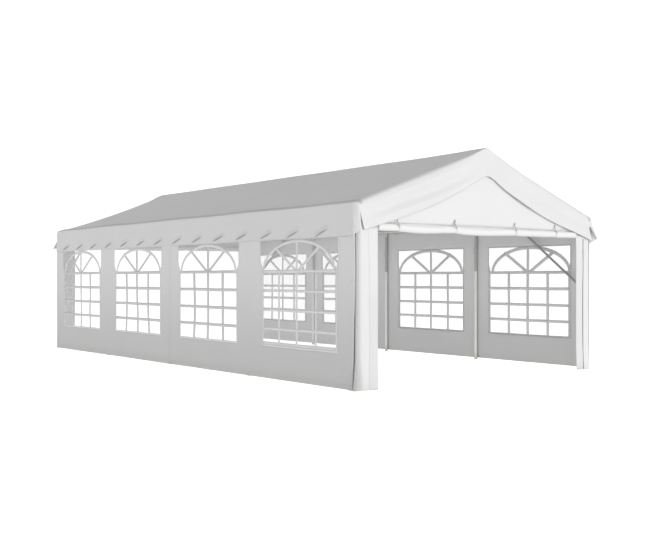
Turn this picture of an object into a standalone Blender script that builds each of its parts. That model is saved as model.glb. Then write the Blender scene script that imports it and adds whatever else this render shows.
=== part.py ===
"""Marquee tent, 4 m by 8 m: a sewn white cover, side walls with clear windows and two end walls
with rolled-up doors, carried by a frame of white painted steel tubes.

Metres, +Z up. The ground is z = 0, the ridge runs along Y and the front gable faces -Y.
The origin is on the ground in the middle of the plan.
"""
import math

import bmesh
import bpy
from mathutils import Vector

# Thin sheets stand 0.3 mm clear of what carries them
SEAT_GAP = 0.0003
COVER_THICKNESS = 0.003
PANE_THICKNESS = 0.002

# Roof cover, measured on its outer face
RIDGE_HEIGHT = 2.725
EAVE_HEIGHT = 1.997
EAVE_X = 2.012
GABLE_Y = 4.06
GABLE_ROUND_LENGTH = 0.06
GABLE_ROUND_DROP = 0.045
GABLE_ROUND_ROWS = (0.06, 0.022, 0.006, 0.0)
CORNER_CUT = 0.06
CORNER_COLUMN_X = 1.90
SIDE_HEM_HEIGHT = 1.645
GABLE_HEM_DEPTH = 0.325
GABLE_HEM_SAG = 0.075
GABLE_HEM_END_X = 1.90
SLIT_START = 0.36
SLIT_OPENING = 0.025

# Steel frame
TUBE_RADIUS = 0.020
SLEEVE_RADIUS = 0.0225
TUBE_SIDES = 16
LEG_X = 1.973
END_LEG_Y = 3.96
EAVE_RAIL_HEIGHT = 1.945
LEG_SLEEVE_BOTTOM = 1.865
SLEEVE_REACH = 0.10
RAIL_SLEEVE_REACH = 0.085
ELBOW_REACH = 0.025
FOOT_PLATE_SIZE = 0.07
FOOT_PLATE_THICKNESS = 0.004
FOOT_PLATE_CORNER = 0.008
FOOT_SLEEVE_TOP = 0.06
BRACE_RADIUS = 0.016
BRACE_FOOT_HEIGHT = 1.045
BRACE_HEAD_Y = 2.79
BRACE_OVERRUN = 0.03

# Side walls and their windows
WALL_HEM_HEIGHT = 0.006
WALL_TOP_HEIGHT = 1.95
WALL_END_Y = 4.005
WALL_JOINT_HALF_GAP = 0.004
WINDOW_CENTRES = (1.0, 3.0)
WINDOW_WIDTH = 1.42
WINDOW_SILL = 0.405
WINDOW_TOP = 1.635

# End walls with the doors rolled up
END_WALL_Y = GABLE_Y - GABLE_ROUND_ROWS[1] - 0.001
END_WALL_HEM_HEIGHT = 0.010
STRIP_WRAP_RADIUS = 0.040
STRIP_WRAP_X = 1.93
STRIP_WRAP_ANGLES = (60.0, 40.0, 20.0, 0.0)
STRIP_TOP_LOWERED = 0.015
DOORWAY_HALF_WIDTH = 1.677
GABLE_SHEET_BOTTOM = 1.8003
ROLL_Y = 4.018
ROLL_CENTRE_HEIGHT = 1.7557
ROLL_HEIGHT = 0.10
ROLL_DEPTH = 0.072
ROLL_END_GAP = 0.005

ROOF_SLOPE = (RIDGE_HEIGHT - EAVE_HEIGHT) / EAVE_X
ROOF_ANGLE = math.atan(ROOF_SLOPE)
RAFTER_RIDGE_HEIGHT = RIDGE_HEIGHT - (COVER_THICKNESS + SEAT_GAP + SLEEVE_RADIUS) / math.cos(ROOF_ANGLE)
WALL_OUTER_X = LEG_X + SLEEVE_RADIUS + SEAT_GAP + COVER_THICKNESS

STATIONS = {
    "front": -END_LEG_Y,
    "second": -2.0,
    "middle": 0.0,
    "fourth": 2.0,
    "back": END_LEG_Y,
}
SIDES = {"left": -1.0, "right": 1.0}
ENDS = {"front": -1.0, "back": 1.0}

X_AXIS = Vector((1.0, 0.0, 0.0))
Y_AXIS = Vector((0.0, 1.0, 0.0))


def clear_scene():
    for item in list(bpy.data.objects):
        bpy.data.objects.remove(item, do_unlink=True)


def make_material(name, colour, roughness, metallic=0.0, alpha=1.0):
    """One Principled material; the colour is linear."""
    material = bpy.data.materials.new(name)
    material.use_nodes = True
    shader = material.node_tree.nodes["Principled BSDF"]
    shader.inputs["Base Color"].default_value = (*colour, 1.0)
    shader.inputs["Roughness"].default_value = roughness
    shader.inputs["Metallic"].default_value = metallic
    shader.inputs["Alpha"].default_value = alpha
    return material


def make_object(name, mesh_builder, material):
    """Turn a bmesh into a named object with its material."""
    mesh = bpy.data.meshes.new(name)
    mesh_builder.to_mesh(mesh)
    mesh_builder.free()
    mesh.materials.append(material)
    item = bpy.data.objects.new(name, mesh)
    bpy.context.scene.collection.objects.link(item)
    return item


def thicken(item, thickness):
    """Give a sheet its thickness, inwards from the outer face that was drawn."""
    modifier = item.modifiers.new("thickness", "SOLIDIFY")
    modifier.thickness = thickness
    modifier.offset = -1.0
    modifier.use_even_offset = True
    modifier.use_quality_normals = True
    return item


def fuse(base, additions):
    """Join solids into one body; the added ones stay behind as hidden guides."""
    for addition in additions:
        addition.hide_render = True
        addition.display_type = "WIRE"
        modifier = base.modifiers.new("fuse " + addition.name, "BOOLEAN")
        modifier.operation = "UNION"
        modifier.solver = "EXACT"
        modifier.object = addition
    return base


def shade_round(item):
    item.data.shade_smooth()
    item.data.set_sharp_from_angle(angle=math.radians(30.0))
    return item


def tube_mesh(path, radius, side):
    """Capped round tube along a path in one plane, mitred at its corners.

    side is the unit normal of that plane.
    """
    builder = bmesh.new()
    steps = [(b - a).normalized() for a, b in zip(path, path[1:])]
    rings = []
    for index, point in enumerate(path):
        before = steps[max(index - 1, 0)]
        after = steps[min(index, len(steps) - 1)]
        along = (before + after).normalized()
        up = along.cross(side)
        stretch = 1.0 / along.dot(before)
        ring = []
        for corner in range(TUBE_SIDES):
            angle = 2.0 * math.pi * corner / TUBE_SIDES
            offset = side * math.cos(angle) + up * (math.sin(angle) * stretch)
            ring.append(builder.verts.new(point + offset * radius))
        rings.append(ring)
    for lower, upper in zip(rings, rings[1:]):
        for corner in range(TUBE_SIDES):
            following = (corner + 1) % TUBE_SIDES
            builder.faces.new((lower[corner], lower[following], upper[following], upper[corner]))
    builder.faces.new(rings[0])
    builder.faces.new(rings[-1])
    bmesh.ops.recalc_face_normals(builder, faces=builder.faces)
    return builder


def make_tube(name, path, radius, side, material):
    return shade_round(make_object(name, tube_mesh(path, radius, side), material))


def rafter_point(side, station_y, distance_from_ridge):
    """Point on a rafter's axis, measured from the ridge down the slope."""
    run = distance_from_ridge * math.cos(ROOF_ANGLE)
    return Vector((side * run, station_y, RAFTER_RIDGE_HEIGHT - ROOF_SLOPE * run))


RAFTER_LENGTH = LEG_X / math.cos(ROOF_ANGLE)


def eave_fitting(name, side, station_y, material):
    """Bent sleeve from the leg's top up into the rafter's slope."""
    elbow = rafter_point(side, station_y, RAFTER_LENGTH)
    path = [
        Vector((side * LEG_X, station_y, LEG_SLEEVE_BOTTOM)),
        Vector((side * LEG_X, station_y, elbow.z - ELBOW_REACH)),
        rafter_point(side, station_y, RAFTER_LENGTH - ELBOW_REACH),
        rafter_point(side, station_y, RAFTER_LENGTH - SLEEVE_REACH),
    ]
    return make_tube(name, path, SLEEVE_RADIUS, Y_AXIS, material)


def ridge_fitting(name, station_y, material):
    """Sleeve bent over the ridge, one arm down each slope."""
    path = [
        rafter_point(-1.0, station_y, SLEEVE_REACH),
        Vector((0.0, station_y, RAFTER_RIDGE_HEIGHT)),
        rafter_point(1.0, station_y, SLEEVE_REACH),
    ]
    return make_tube(name, path, SLEEVE_RADIUS, Y_AXIS, material)


def rail_sleeve(name, x, z, station_y, material):
    """Straight sleeve round a rail, cut short at the gable ends."""
    start = max(station_y - RAIL_SLEEVE_REACH, -END_LEG_Y)
    end = min(station_y + RAIL_SLEEVE_REACH, END_LEG_Y)
    path = [Vector((x, start, z)), Vector((x, end, z))]
    return make_tube(name, path, SLEEVE_RADIUS, X_AXIS, material)


def make_rails(material):
    """Two eave rails and the ridge rail, each with its five welded fittings."""
    for side_name, side in SIDES.items():
        x = side * LEG_X
        path = [Vector((x, -END_LEG_Y, EAVE_RAIL_HEIGHT)), Vector((x, END_LEG_Y, EAVE_RAIL_HEIGHT))]
        rail = make_tube("eave_rail_" + side_name, path, TUBE_RADIUS, X_AXIS, material)
        additions = []
        for station_name, station_y in STATIONS.items():
            label = side_name + "_" + station_name
            additions.append(rail_sleeve("guide_sleeve_" + label, x, EAVE_RAIL_HEIGHT, station_y, material))
            additions.append(eave_fitting("guide_eave_" + label, side, station_y, material))
        fuse(rail, additions)

    path = [Vector((0.0, -END_LEG_Y, RAFTER_RIDGE_HEIGHT)), Vector((0.0, END_LEG_Y, RAFTER_RIDGE_HEIGHT))]
    rail = make_tube("ridge_rail", path, TUBE_RADIUS, X_AXIS, material)
    additions = []
    for station_name, station_y in STATIONS.items():
        additions.append(
            rail_sleeve("guide_sleeve_" + station_name, 0.0, RAFTER_RIDGE_HEIGHT, station_y, material))
        additions.append(ridge_fitting("guide_ridge_" + station_name, station_y, material))
    fuse(rail, additions)


def make_rafters(material):
    """Ten sloping tubes, each between an eave fitting and a ridge fitting."""
    for side_name, side in SIDES.items():
        for station_name, station_y in STATIONS.items():
            path = [
                rafter_point(side, station_y, SLEEVE_REACH + SEAT_GAP),
                rafter_point(side, station_y, RAFTER_LENGTH - SLEEVE_REACH - SEAT_GAP),
            ]
            make_tube("rafter_" + side_name + "_" + station_name, path, TUBE_RADIUS, Y_AXIS, material)


def foot_plate(name, x, y, material):
    """Square ground plate with rounded corners."""
    builder = bmesh.new()
    bmesh.ops.create_cube(builder, size=1.0)
    for vertex in builder.verts:
        vertex.co.x = x + vertex.co.x * FOOT_PLATE_SIZE
        vertex.co.y = y + vertex.co.y * FOOT_PLATE_SIZE
        vertex.co.z = (vertex.co.z + 0.5) * FOOT_PLATE_THICKNESS
    upright = [edge for edge in builder.edges if abs(edge.verts[0].co.z - edge.verts[1].co.z) > 0.001]
    bmesh.ops.bevel(builder, geom=upright, offset=FOOT_PLATE_CORNER, segments=2, profile=0.5, affect="EDGES")
    bmesh.ops.recalc_face_normals(builder, faces=builder.faces)
    return make_object(name, builder, material)


def make_legs(material):
    """Ten legs, each a tube in a short foot socket on a ground plate."""
    inside_plate = FOOT_PLATE_THICKNESS / 2.0
    for side_name, side in SIDES.items():
        for station_name, station_y in STATIONS.items():
            label = side_name + "_" + station_name
            x = side * LEG_X
            socket_path = [Vector((x, station_y, inside_plate)), Vector((x, station_y, FOOT_SLEEVE_TOP))]
            tube_path = [
                Vector((x, station_y, FOOT_SLEEVE_TOP / 2.0)),
                Vector((x, station_y, LEG_SLEEVE_BOTTOM - SEAT_GAP)),
            ]
            leg = foot_plate("leg_" + label, x, station_y, material)
            socket = make_tube("guide_socket_" + label, socket_path, SLEEVE_RADIUS, Y_AXIS, material)
            tube = make_tube("guide_leg_tube_" + label, tube_path, TUBE_RADIUS, Y_AXIS, material)
            fuse(leg, [socket, tube])


def make_knee_braces(material):
    """Four braces from the corner legs up to the eave rails, bolted on their inner sides."""
    brace_x = LEG_X - TUBE_RADIUS - SEAT_GAP - BRACE_RADIUS
    foot = Vector((0.0, END_LEG_Y, BRACE_FOOT_HEIGHT))
    head = Vector((0.0, BRACE_HEAD_Y, EAVE_RAIL_HEIGHT))
    along = (head - foot).normalized()
    foot -= along * BRACE_OVERRUN
    head += along * BRACE_OVERRUN
    for side_name, side in SIDES.items():
        for end_name, end in ENDS.items():
            path = [Vector((side * brace_x, end * point.y, point.z)) for point in (foot, head)]
            make_tube("knee_brace_" + side_name + "_" + end_name, path, BRACE_RADIUS, X_AXIS, material)


def gable_drop(distance_in):
    """How far the cover has rounded down, at a distance in from the gable edge."""
    if distance_in >= GABLE_ROUND_LENGTH:
        return 0.0
    turned = 1.0 - distance_in / GABLE_ROUND_LENGTH
    return GABLE_ROUND_DROP * (1.0 - math.sqrt(1.0 - turned * turned))


def roof_plan_x(x, y):
    """Draw the eaves in at the plan's four corners, and leave the rest of the plan as it is."""
    cut = abs(y) - (GABLE_Y - CORNER_CUT)
    if abs(x) <= CORNER_COLUMN_X or cut <= 0.0:
        return x
    share = (abs(x) - CORNER_COLUMN_X) / (EAVE_X - CORNER_COLUMN_X)
    return math.copysign(abs(x) - cut * share, x)


def roof_point(x, y):
    """Point of the cover's outer face over a place in the square plan."""
    plan_x = roof_plan_x(x, y)
    height = RIDGE_HEIGHT - ROOF_SLOPE * abs(plan_x) - gable_drop(GABLE_Y - abs(y))
    return Vector((plan_x, y, height))


def gable_hem_point(x, end):
    """Lower edge of a gable valance: parallel to the slope, sagging between ridge and eave."""
    hem_x = x * GABLE_HEM_END_X / (EAVE_X - CORNER_CUT)
    sag = GABLE_HEM_SAG * math.sin(math.pi * abs(hem_x) / GABLE_HEM_END_X)
    height = RIDGE_HEIGHT - ROOF_SLOPE * abs(hem_x) - GABLE_HEM_DEPTH - sag
    return Vector((hem_x, end * GABLE_Y, height))


def side_hem_point(top):
    """Lower edge of a side valance, straight below the eave and drawn apart at the corner slits."""
    opening = SLIT_OPENING if abs(top.y) >= GABLE_Y else 0.0
    return Vector((top.x + math.copysign(opening, top.x), top.y, SIDE_HEM_HEIGHT))


def make_roof_cover(material):
    """Two slopes and a valance all round, one sewn sheet, slit at the four corners."""
    half_columns = [0.0, 0.35, 0.7, 1.05, 1.4, 1.7, CORNER_COLUMN_X, EAVE_X]
    columns = [-x for x in reversed(half_columns[1:])] + half_columns
    half_rows = [2.0] + [GABLE_Y - distance_in for distance_in in GABLE_ROUND_ROWS]
    rows = [-y for y in reversed(half_rows)] + [0.0] + half_rows

    builder = bmesh.new()
    grid = [[builder.verts.new(roof_point(x, y)) for x in columns] for y in rows]
    for near, far in zip(grid, grid[1:]):
        for index in range(len(columns) - 1):
            builder.faces.new((near[index], near[index + 1], far[index + 1], far[index]))
    add_valances(builder, grid)
    bmesh.ops.recalc_face_normals(builder, faces=builder.faces)
    return thicken(make_object("roof_cover", builder, material), COVER_THICKNESS)


def add_valances(builder, grid):
    """Hang the valance from the edge of the slopes, open below at each corner slit."""
    gable_upper = {}
    for end, row in ((-1.0, grid[0]), (1.0, grid[-1])):
        for index, top in enumerate(row):
            hem = gable_hem_point(top.co.x, end)
            upper = builder.verts.new(top.co.lerp(hem, SLIT_START))
            lower = builder.verts.new(hem)
            if index > 0:
                builder.faces.new((row[index - 1], top, upper, last_upper))
                builder.faces.new((last_upper, upper, lower, last_lower))
            gable_upper[top] = last_upper = upper
            last_lower = lower

    for edge in (0, -1):
        run = [row[edge] for row in grid]
        for number, top in enumerate(run):
            hem = side_hem_point(top.co)
            lower = builder.verts.new(hem)
            if top in gable_upper:
                upper = gable_upper[top]
            else:
                upper = builder.verts.new(top.co.lerp(hem, SLIT_START))
            if number > 0:
                builder.faces.new((run[number - 1], top, upper, last_upper))
                builder.faces.new((last_upper, upper, lower, last_lower))
            last_upper, last_lower = upper, lower


def upright_sheet(columns, levels, is_open):
    """Sheet of upright cells; columns are plan points, and is_open leaves a cell out.

    levels gives each column its heights from bottom to top.
    """
    builder = bmesh.new()
    grid = {}

    def vertex(column, level):
        key = (column, level)
        if key not in grid:
            x, y = columns[column]
            grid[key] = builder.verts.new((x, y, levels[column][level]))
        return grid[key]

    for column in range(len(columns) - 1):
        for level in range(len(levels[column]) - 1):
            if is_open(column, level):
                continue
            builder.faces.new((
                vertex(column, level),
                vertex(column + 1, level),
                vertex(column + 1, level + 1),
                vertex(column, level + 1),
            ))
    return builder


def make_side_walls(wall_material, pane_material):
    """Four wall panels with two windows each, and a clear pane in every window."""
    half_width = WINDOW_WIDTH / 2.0
    heights = (WALL_HEM_HEIGHT, WINDOW_SILL, WINDOW_TOP, WALL_TOP_HEIGHT)
    for side_name, side in SIDES.items():
        for end_name, end in ENDS.items():
            places = [WALL_JOINT_HALF_GAP]
            for centre in WINDOW_CENTRES:
                places += [centre - half_width, centre + half_width]
            places.append(WALL_END_Y)
            columns = [(side * WALL_OUTER_X, end * y) for y in places]
            if side * end < 0.0:
                columns.reverse()
            builder = upright_sheet(
                columns,
                [heights] * len(columns),
                lambda column, level: level == 1 and column % 2 == 1,
            )
            name = "wall_" + side_name + "_" + end_name
            thicken(make_object(name, builder, wall_material), COVER_THICKNESS)
        centres = [-y for y in reversed(WINDOW_CENTRES)] + list(WINDOW_CENTRES)
        for number, centre_y in enumerate(centres, 1):
            make_pane("window_" + side_name + "_" + str(number), side, centre_y, pane_material)


def make_pane(name, side, centre_y, material):
    """Clear sheet in the middle of the wall's thickness, a hair smaller than its opening."""
    builder = bmesh.new()
    bmesh.ops.create_cube(builder, size=1.0)
    middle_x = side * (WALL_OUTER_X - COVER_THICKNESS / 2.0)
    width = WINDOW_WIDTH - 2.0 * SEAT_GAP
    height = WINDOW_TOP - WINDOW_SILL - 2.0 * SEAT_GAP
    middle_z = (WINDOW_TOP + WINDOW_SILL) / 2.0
    for vertex in builder.verts:
        vertex.co.x = middle_x + vertex.co.x * PANE_THICKNESS
        vertex.co.y = centre_y + vertex.co.y * width
        vertex.co.z = middle_z + vertex.co.z * height
    return make_object(name, builder, material)


def end_wall_top(x):
    """Top edge of an end wall, just under the cover's inner face at its second row in."""
    drop = gable_drop(GABLE_ROUND_ROWS[1])
    forward_slope = drop / (GABLE_ROUND_ROWS[0] - GABLE_ROUND_ROWS[1])
    steepness = math.sqrt(1.0 + ROOF_SLOPE ** 2 + forward_slope ** 2)
    return RIDGE_HEIGHT - ROOF_SLOPE * abs(x) - drop - (COVER_THICKNESS + SEAT_GAP) * steepness


def make_end_walls(wall_material, roll_material):
    """Two end walls: gable and corner strips in one sheet, with the door rolled up between."""
    arc = []
    for degrees in STRIP_WRAP_ANGLES:
        angle = math.radians(degrees)
        x = STRIP_WRAP_X + STRIP_WRAP_RADIUS * math.sin(angle)
        y = END_WALL_Y - STRIP_WRAP_RADIUS * (1.0 - math.cos(angle))
        arc.append((x, y))
    plan = [(-x, y) for x, y in arc]
    plan += [(-DOORWAY_HALF_WIDTH, END_WALL_Y), (0.0, END_WALL_Y), (DOORWAY_HALF_WIDTH, END_WALL_Y)]
    plan += reversed(arc)
    levels = []
    for x, y in plan:
        lowered = STRIP_TOP_LOWERED if abs(x) >= STRIP_WRAP_X else 0.0
        levels.append((END_WALL_HEM_HEIGHT, GABLE_SHEET_BOTTOM, end_wall_top(x) - lowered))
    doorway = (len(arc), len(arc) + 1)

    for end_name, end in ENDS.items():
        columns = [(x, end * y) for x, y in plan]
        column_levels = list(levels)
        gaps = doorway
        if end > 0.0:
            columns.reverse()
            column_levels.reverse()
        builder = upright_sheet(columns, column_levels, lambda column, level: level == 0 and column in gaps)
        thicken(make_object("end_wall_" + end_name, builder, wall_material), COVER_THICKNESS)
        make_door_roll("door_roll_" + end_name, end, roll_material)


def make_door_roll(name, end, material):
    """The rolled-up door: a long oval roll drawn up against the lower edge of the gable sheet."""
    centre = Vector((0.0, end * ROLL_Y, ROLL_CENTRE_HEIGHT))
    reach = X_AXIS * (DOORWAY_HALF_WIDTH - ROLL_END_GAP)
    path = [centre - reach, centre + reach]
    builder = tube_mesh(path, ROLL_HEIGHT / 2.0, Y_AXIS)
    for vertex in builder.verts:
        vertex.co.y = centre.y + (vertex.co.y - centre.y) * ROLL_DEPTH / ROLL_HEIGHT
    return shade_round(make_object(name, builder, material))


def build():
    clear_scene()
    cover = make_material("white_cover_sheet", (0.80, 0.80, 0.80), 0.55)
    clear = make_material("clear_window_sheet", (0.90, 0.92, 0.93), 0.08, alpha=0.2)
    steel = make_material("white_painted_steel", (0.78, 0.77, 0.74), 0.35)
    make_legs(steel)
    make_rails(steel)
    make_rafters(steel)
    make_knee_braces(steel)
    make_roof_cover(cover)
    make_side_walls(cover, clear)
    make_end_walls(cover, cover)


build()
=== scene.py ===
from math import atan, copysign, cos, dist, exp, hypot, pi, radians, sin, sqrt

import bmesh
import bpy
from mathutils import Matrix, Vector, noise


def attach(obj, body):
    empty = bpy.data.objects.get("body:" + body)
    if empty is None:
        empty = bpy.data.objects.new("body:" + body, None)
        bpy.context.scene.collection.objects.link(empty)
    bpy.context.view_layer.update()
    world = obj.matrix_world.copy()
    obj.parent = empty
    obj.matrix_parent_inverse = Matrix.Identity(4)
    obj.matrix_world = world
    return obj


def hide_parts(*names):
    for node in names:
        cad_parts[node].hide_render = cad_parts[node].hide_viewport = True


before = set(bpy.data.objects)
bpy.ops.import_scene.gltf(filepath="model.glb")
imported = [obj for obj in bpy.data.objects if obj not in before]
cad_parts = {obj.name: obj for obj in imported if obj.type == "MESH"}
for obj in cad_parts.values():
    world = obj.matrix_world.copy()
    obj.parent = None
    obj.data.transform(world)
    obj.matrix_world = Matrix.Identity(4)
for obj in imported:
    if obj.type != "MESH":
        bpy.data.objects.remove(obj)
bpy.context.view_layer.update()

# Camera
# The tent is seen from its front left corner, at about chest height. Place and lens were solved from the
# eaves, hems and window edges, taken as straight lines at right angles.
scene = bpy.context.scene
camera = bpy.data.objects.new("camera", bpy.data.cameras.new("camera"))
camera.data.lens = 53.42
camera.data.sensor_width = 36
camera.location = (-8.45, -11.92, 1.195)
camera.rotation_euler = (radians(90.15), 0, radians(-37.53))
scene.collection.objects.link(camera)
scene.camera = camera
scene.view_settings.view_transform = "Standard"

# Studio
# A pale floor in a white room, which gives an even light, most of it from the horizon. One broad light stands
# low in front of the gable, a little to the right.
FLOOR_SIZE = 120
FLOOR_LEVEL = -0.0005
FLOOR_GLOW = 0.95
ROOM_SHOWN = 1.3
# Direction, from straight down at 0 to straight up at 1, and the light that comes from it
ROOM_LEVELS = ((0, 0.68), (0.46, 0.98), (0.53, 1.42), (0.66, 0.68), (1, 0.25))


class Value:
    """An output of a shader node; sums and products of values add their own Math nodes."""

    def __init__(self, finish, output):
        self.finish, self.output = finish, output

    def math(self, operation, *values):
        return self.finish.node("ShaderNodeMath", {"operation": operation}, dict(enumerate(values)))

    def __add__(self, other):
        return self.math("ADD", self, other)

    def __sub__(self, other):
        return self.math("SUBTRACT", self, other)

    def __mul__(self, other):
        return self.math("MULTIPLY", self, other)

    def axis(self, letter):
        return self.finish.node("ShaderNodeSeparateXYZ", {}, {"Vector": self}, letter)

    def sine(self):
        return self.math("SINE", self)

    def size(self):
        return self.math("ABSOLUTE", self)

    def ramp(self, start, end):
        """0 below start, 1 above end, smooth between; start may be the larger."""
        return self.finish.node("ShaderNodeMapRange", {"interpolation_type": "SMOOTHSTEP"},
                                {"Value": self, "From Min": start, "From Max": end})


class Finish:
    """The shader of a material or a room, and the nodes that vary it."""

    def __init__(self, name, room=None):
        self.material = room or bpy.data.materials.new(name)
        self.material.use_nodes = True
        self.tree = self.material.node_tree
        self.shader = self.tree.nodes["Background" if room else "Principled BSDF"]

    def node(self, kind, settings, inputs, output=0):
        made = self.tree.nodes.new(kind)
        for key, value in settings.items():
            setattr(made, key, value)
        self.connect(made, inputs)
        return Value(self, made.outputs[output])

    def connect(self, made, inputs):
        for key, value in inputs.items():
            if isinstance(value, Value):
                self.tree.links.new(value.output, made.inputs[key])
            else:
                made.inputs[key].default_value = value

    def surface(self, **inputs):
        """Set or link sockets of the shader, such as base_color."""
        self.connect(self.shader, {key.replace("_", " ").title().replace("Ior", "IOR"): value
                                   for key, value in inputs.items()})
        return self.material

    def place(self, kind="Object"):
        return self.node("ShaderNodeTexCoord", {}, {}, kind)

    def noise(self, where, scale, detail=2):
        return self.node("ShaderNodeTexNoise", {}, {"Vector": where, "Scale": scale, "Detail": detail})

    def between(self, share, first, second):
        """Colour between two colours, or colour values, by share."""
        return self.node("ShaderNodeMix", {"data_type": "RGBA"}, {0: share, 6: first, 7: second}, 2)

    def bump(self, height, distance, strength=1):
        return self.node("ShaderNodeBump", {}, {"Height": height, "Distance": distance, "Strength": strength})


def grey(level, warmer=0):
    """Opaque grey, its blue part higher by warmer below 0 and lower above."""
    return (level, level, level - warmer, 1)


scene.world = bpy.data.worlds.new("white_room")
room = Finish("white_room", scene.world)
upward = room.node("ShaderNodeMapRange", {}, {"Value": room.place("Generated").axis("Z"), "From Min": -1})
levels = room.node("ShaderNodeValToRGB", {}, {"Fac": upward})
stops = levels.output.node.color_ramp.elements
for place, level in ROOM_LEVELS[1:-1]:
    stops.new(place)
for stop, (place, level) in zip(stops, ROOM_LEVELS):
    stop.position, stop.color = place, grey(level)
seen = room.node("ShaderNodeLightPath", {}, {}, "Is Camera Ray")
room.surface(color=room.between(seen, levels, grey(ROOM_SHOWN)))

front_light = bpy.data.objects.new("front_light", bpy.data.lights.new("front_light", "SUN"))
front_light.data.energy = 1.24
front_light.data.angle = radians(24)
front_light.rotation_mode = "QUATERNION"
front_light.rotation_quaternion = Vector((0.42, -0.9, 0.2)).to_track_quat("Z", "Y")
scene.collection.objects.link(front_light)

floor_mesh = bpy.data.meshes.new("floor")
edge = FLOOR_SIZE / 2
floor_mesh.from_pydata([(-edge, -edge, 0), (edge, -edge, 0), (edge, edge, 0), (-edge, edge, 0)], [],
                       [(0, 1, 2, 3)])
floor = bpy.data.objects.new("floor", floor_mesh)
floor.location.z = FLOOR_LEVEL
floor.visible_diffuse = floor.visible_glossy = False
scene.collection.objects.link(floor)
floor_mesh.materials.append(Finish("pale_floor").surface(
    base_color=grey(0.8), roughness=0.9, emission_color=grey(1), emission_strength=FLOOR_GLOW))

# Legs
# Ten upright steel tubes, 40 mm across, white powder coated, with painted shade above the joint and on the
# side against the right wall. Each stands in a short socket, welded to a square ground plate with two peg
# holes, and one bolt holds the tube in the socket.
TUBE_RADIUS = 0.02
SLEEVE_RADIUS = 0.0225
LEG_X = 1.973
LEG_TOP = 1.8647
LEG_JOINT = 1.29
PLATE_HALF = 0.035
PLATE_THICKNESS = 0.004
PLATE_CORNER = 0.008
PLATE_BREAK = 0.0008
PEG_HOLE_RADIUS = 0.0045
PEG_HOLE_REACH = 0.0245
SOCKET_TOP = 0.06
BOLT_IN = 0.022
SIDES = {"left": -1, "right": 1}
ENDS = {"front": -1, "back": 1}
STATIONS = {"front": -3.96, "second": -2, "middle": 0, "fourth": 2, "back": 3.96}
X_AXIS, Y_AXIS, Z_AXIS = Vector((1, 0, 0)), Vector((0, 1, 0)), Vector((0, 0, 1))


def painted_steel(name, light, dark, joint=10):
    """Powder coat: a fine orange peel, cloudy gloss and a little dust near the ground.

    It has painted shade above the joint's height, where the roof shades the legs, and painted shade on its
    side against the right wall, where the gap to the wall is in shadow.
    """
    finish = Finish(name)
    where = finish.place()
    height = where.axis("Z")
    cloud = finish.noise(where, 7, 3)
    dust = height.ramp(0.14, 0) * finish.noise(where, 60, 4)
    paint = finish.between(cloud, light, dark)
    # Painted shade: darker above the joint, for the roof's shadow on the upper legs
    paint = finish.between(height.ramp(joint, joint + 0.01) * 0.7, paint, (0.36, 0.345, 0.33, 1))
    # Painted shade: darker on the side against the right wall, for the shadow in the gap
    paint = finish.between(where.axis("X").ramp(1.976, 1.986) * 0.8, paint, (0.22, 0.21, 0.19, 1))
    return finish.surface(
        base_color=finish.between(dust, paint, (0.42, 0.38, 0.32, 1)),
        roughness=cloud * 0.16 + 0.24 + dust * 0.3,
        normal=finish.bump(finish.noise(where, 420), 0.0002, 0.5))


def plated_steel():
    """Bright zinc on bolts, washers and eyelets, dulled in blotches."""
    finish = Finish("plated_steel")
    blotch = finish.noise(finish.place(), 220, 3)
    return finish.surface(
        base_color=finish.between(blotch, grey(0.72, 0.02), grey(0.5, 0.01)), metallic=0.9,
        roughness=blotch * 0.25 + 0.22)


PLATED = plated_steel()
STEEL_FINISHES = [painted_steel("painted_steel", (0.8, 0.785, 0.75, 1), (0.72, 0.7, 0.66, 1)), PLATED]
LEG_FINISHES = [painted_steel("leg_steel", (0.93, 0.92, 0.89, 1), (0.88, 0.865, 0.83, 1), LEG_JOINT), PLATED]


def ring(centre, across, upward, count):
    """Points evenly round an ellipse with these half axes."""
    return [centre + across * cos(turn) + upward * sin(turn)
            for turn in (2 * pi * step / count for step in range(count))]


def skin(builder, outlines, endless=False, capped=True, slot=0):
    """Faces between neighbouring outlines, each a ring or one point, and over the two ends."""
    rings = [[builder.verts.new(point) for point in outline] for outline in outlines]
    faces = [builder.faces.new(end) for end in (rings[0], rings[-1]) if capped and len(end) > 1]
    for lower, upper in zip(rings, rings[1:] + rings[:1] if endless else rings[1:]):
        for corner in range(max(map(len, rings))):
            loop = [lower[corner % len(lower)], lower[(corner + 1) % len(lower)],
                    upper[(corner + 1) % len(upper)], upper[corner % len(upper)]]
            faces.append(builder.faces.new(list(dict.fromkeys(loop))))
    for face in faces:
        face.material_index = slot
    bmesh.ops.recalc_face_normals(builder, faces=faces)
    return rings, faces


def add_swept(builder, path, radii, flat_axis, sides=32):
    """Closed tube along a path in a plane with this normal; a radius may be a pair: across it and in it."""
    steps = [(after - before).normalized() for before, after in zip(path, path[1:])]
    outlines = []
    for point, radius, before, after in zip(path, radii, steps[:1] + steps, steps + steps[-1:]):
        along = (before + after).normalized()
        across, within = radius if isinstance(radius, tuple) else (radius, radius)
        within /= max(along.dot(before), 0.3)
        outlines.append(ring(point, flat_axis * across, along.cross(flat_axis) * within, sides))
    skin(builder, outlines)


def add_straight_tube(builder, start, end, radius, flat_axis, chamfer=0.0012):
    """Tube between two points, its cut ends broken by a small chamfer."""
    along = (end - start).normalized() * chamfer
    add_swept(builder, [start, start + along, end - along, end],
              [radius - chamfer, radius, radius, radius - chamfer], flat_axis)


def add_turned(builder, place, axis, profile, segments=24, slot=0):
    """Closed solid turned round an axis; profile holds (radius, distance along the axis), from 0 to 0."""
    across = axis.orthogonal().normalized()
    upward = axis.cross(across)
    skin(builder, [ring(place + axis * along, across * radius, upward * radius, segments if radius else 1)
                   for radius, along in profile], slot=slot)


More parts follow.
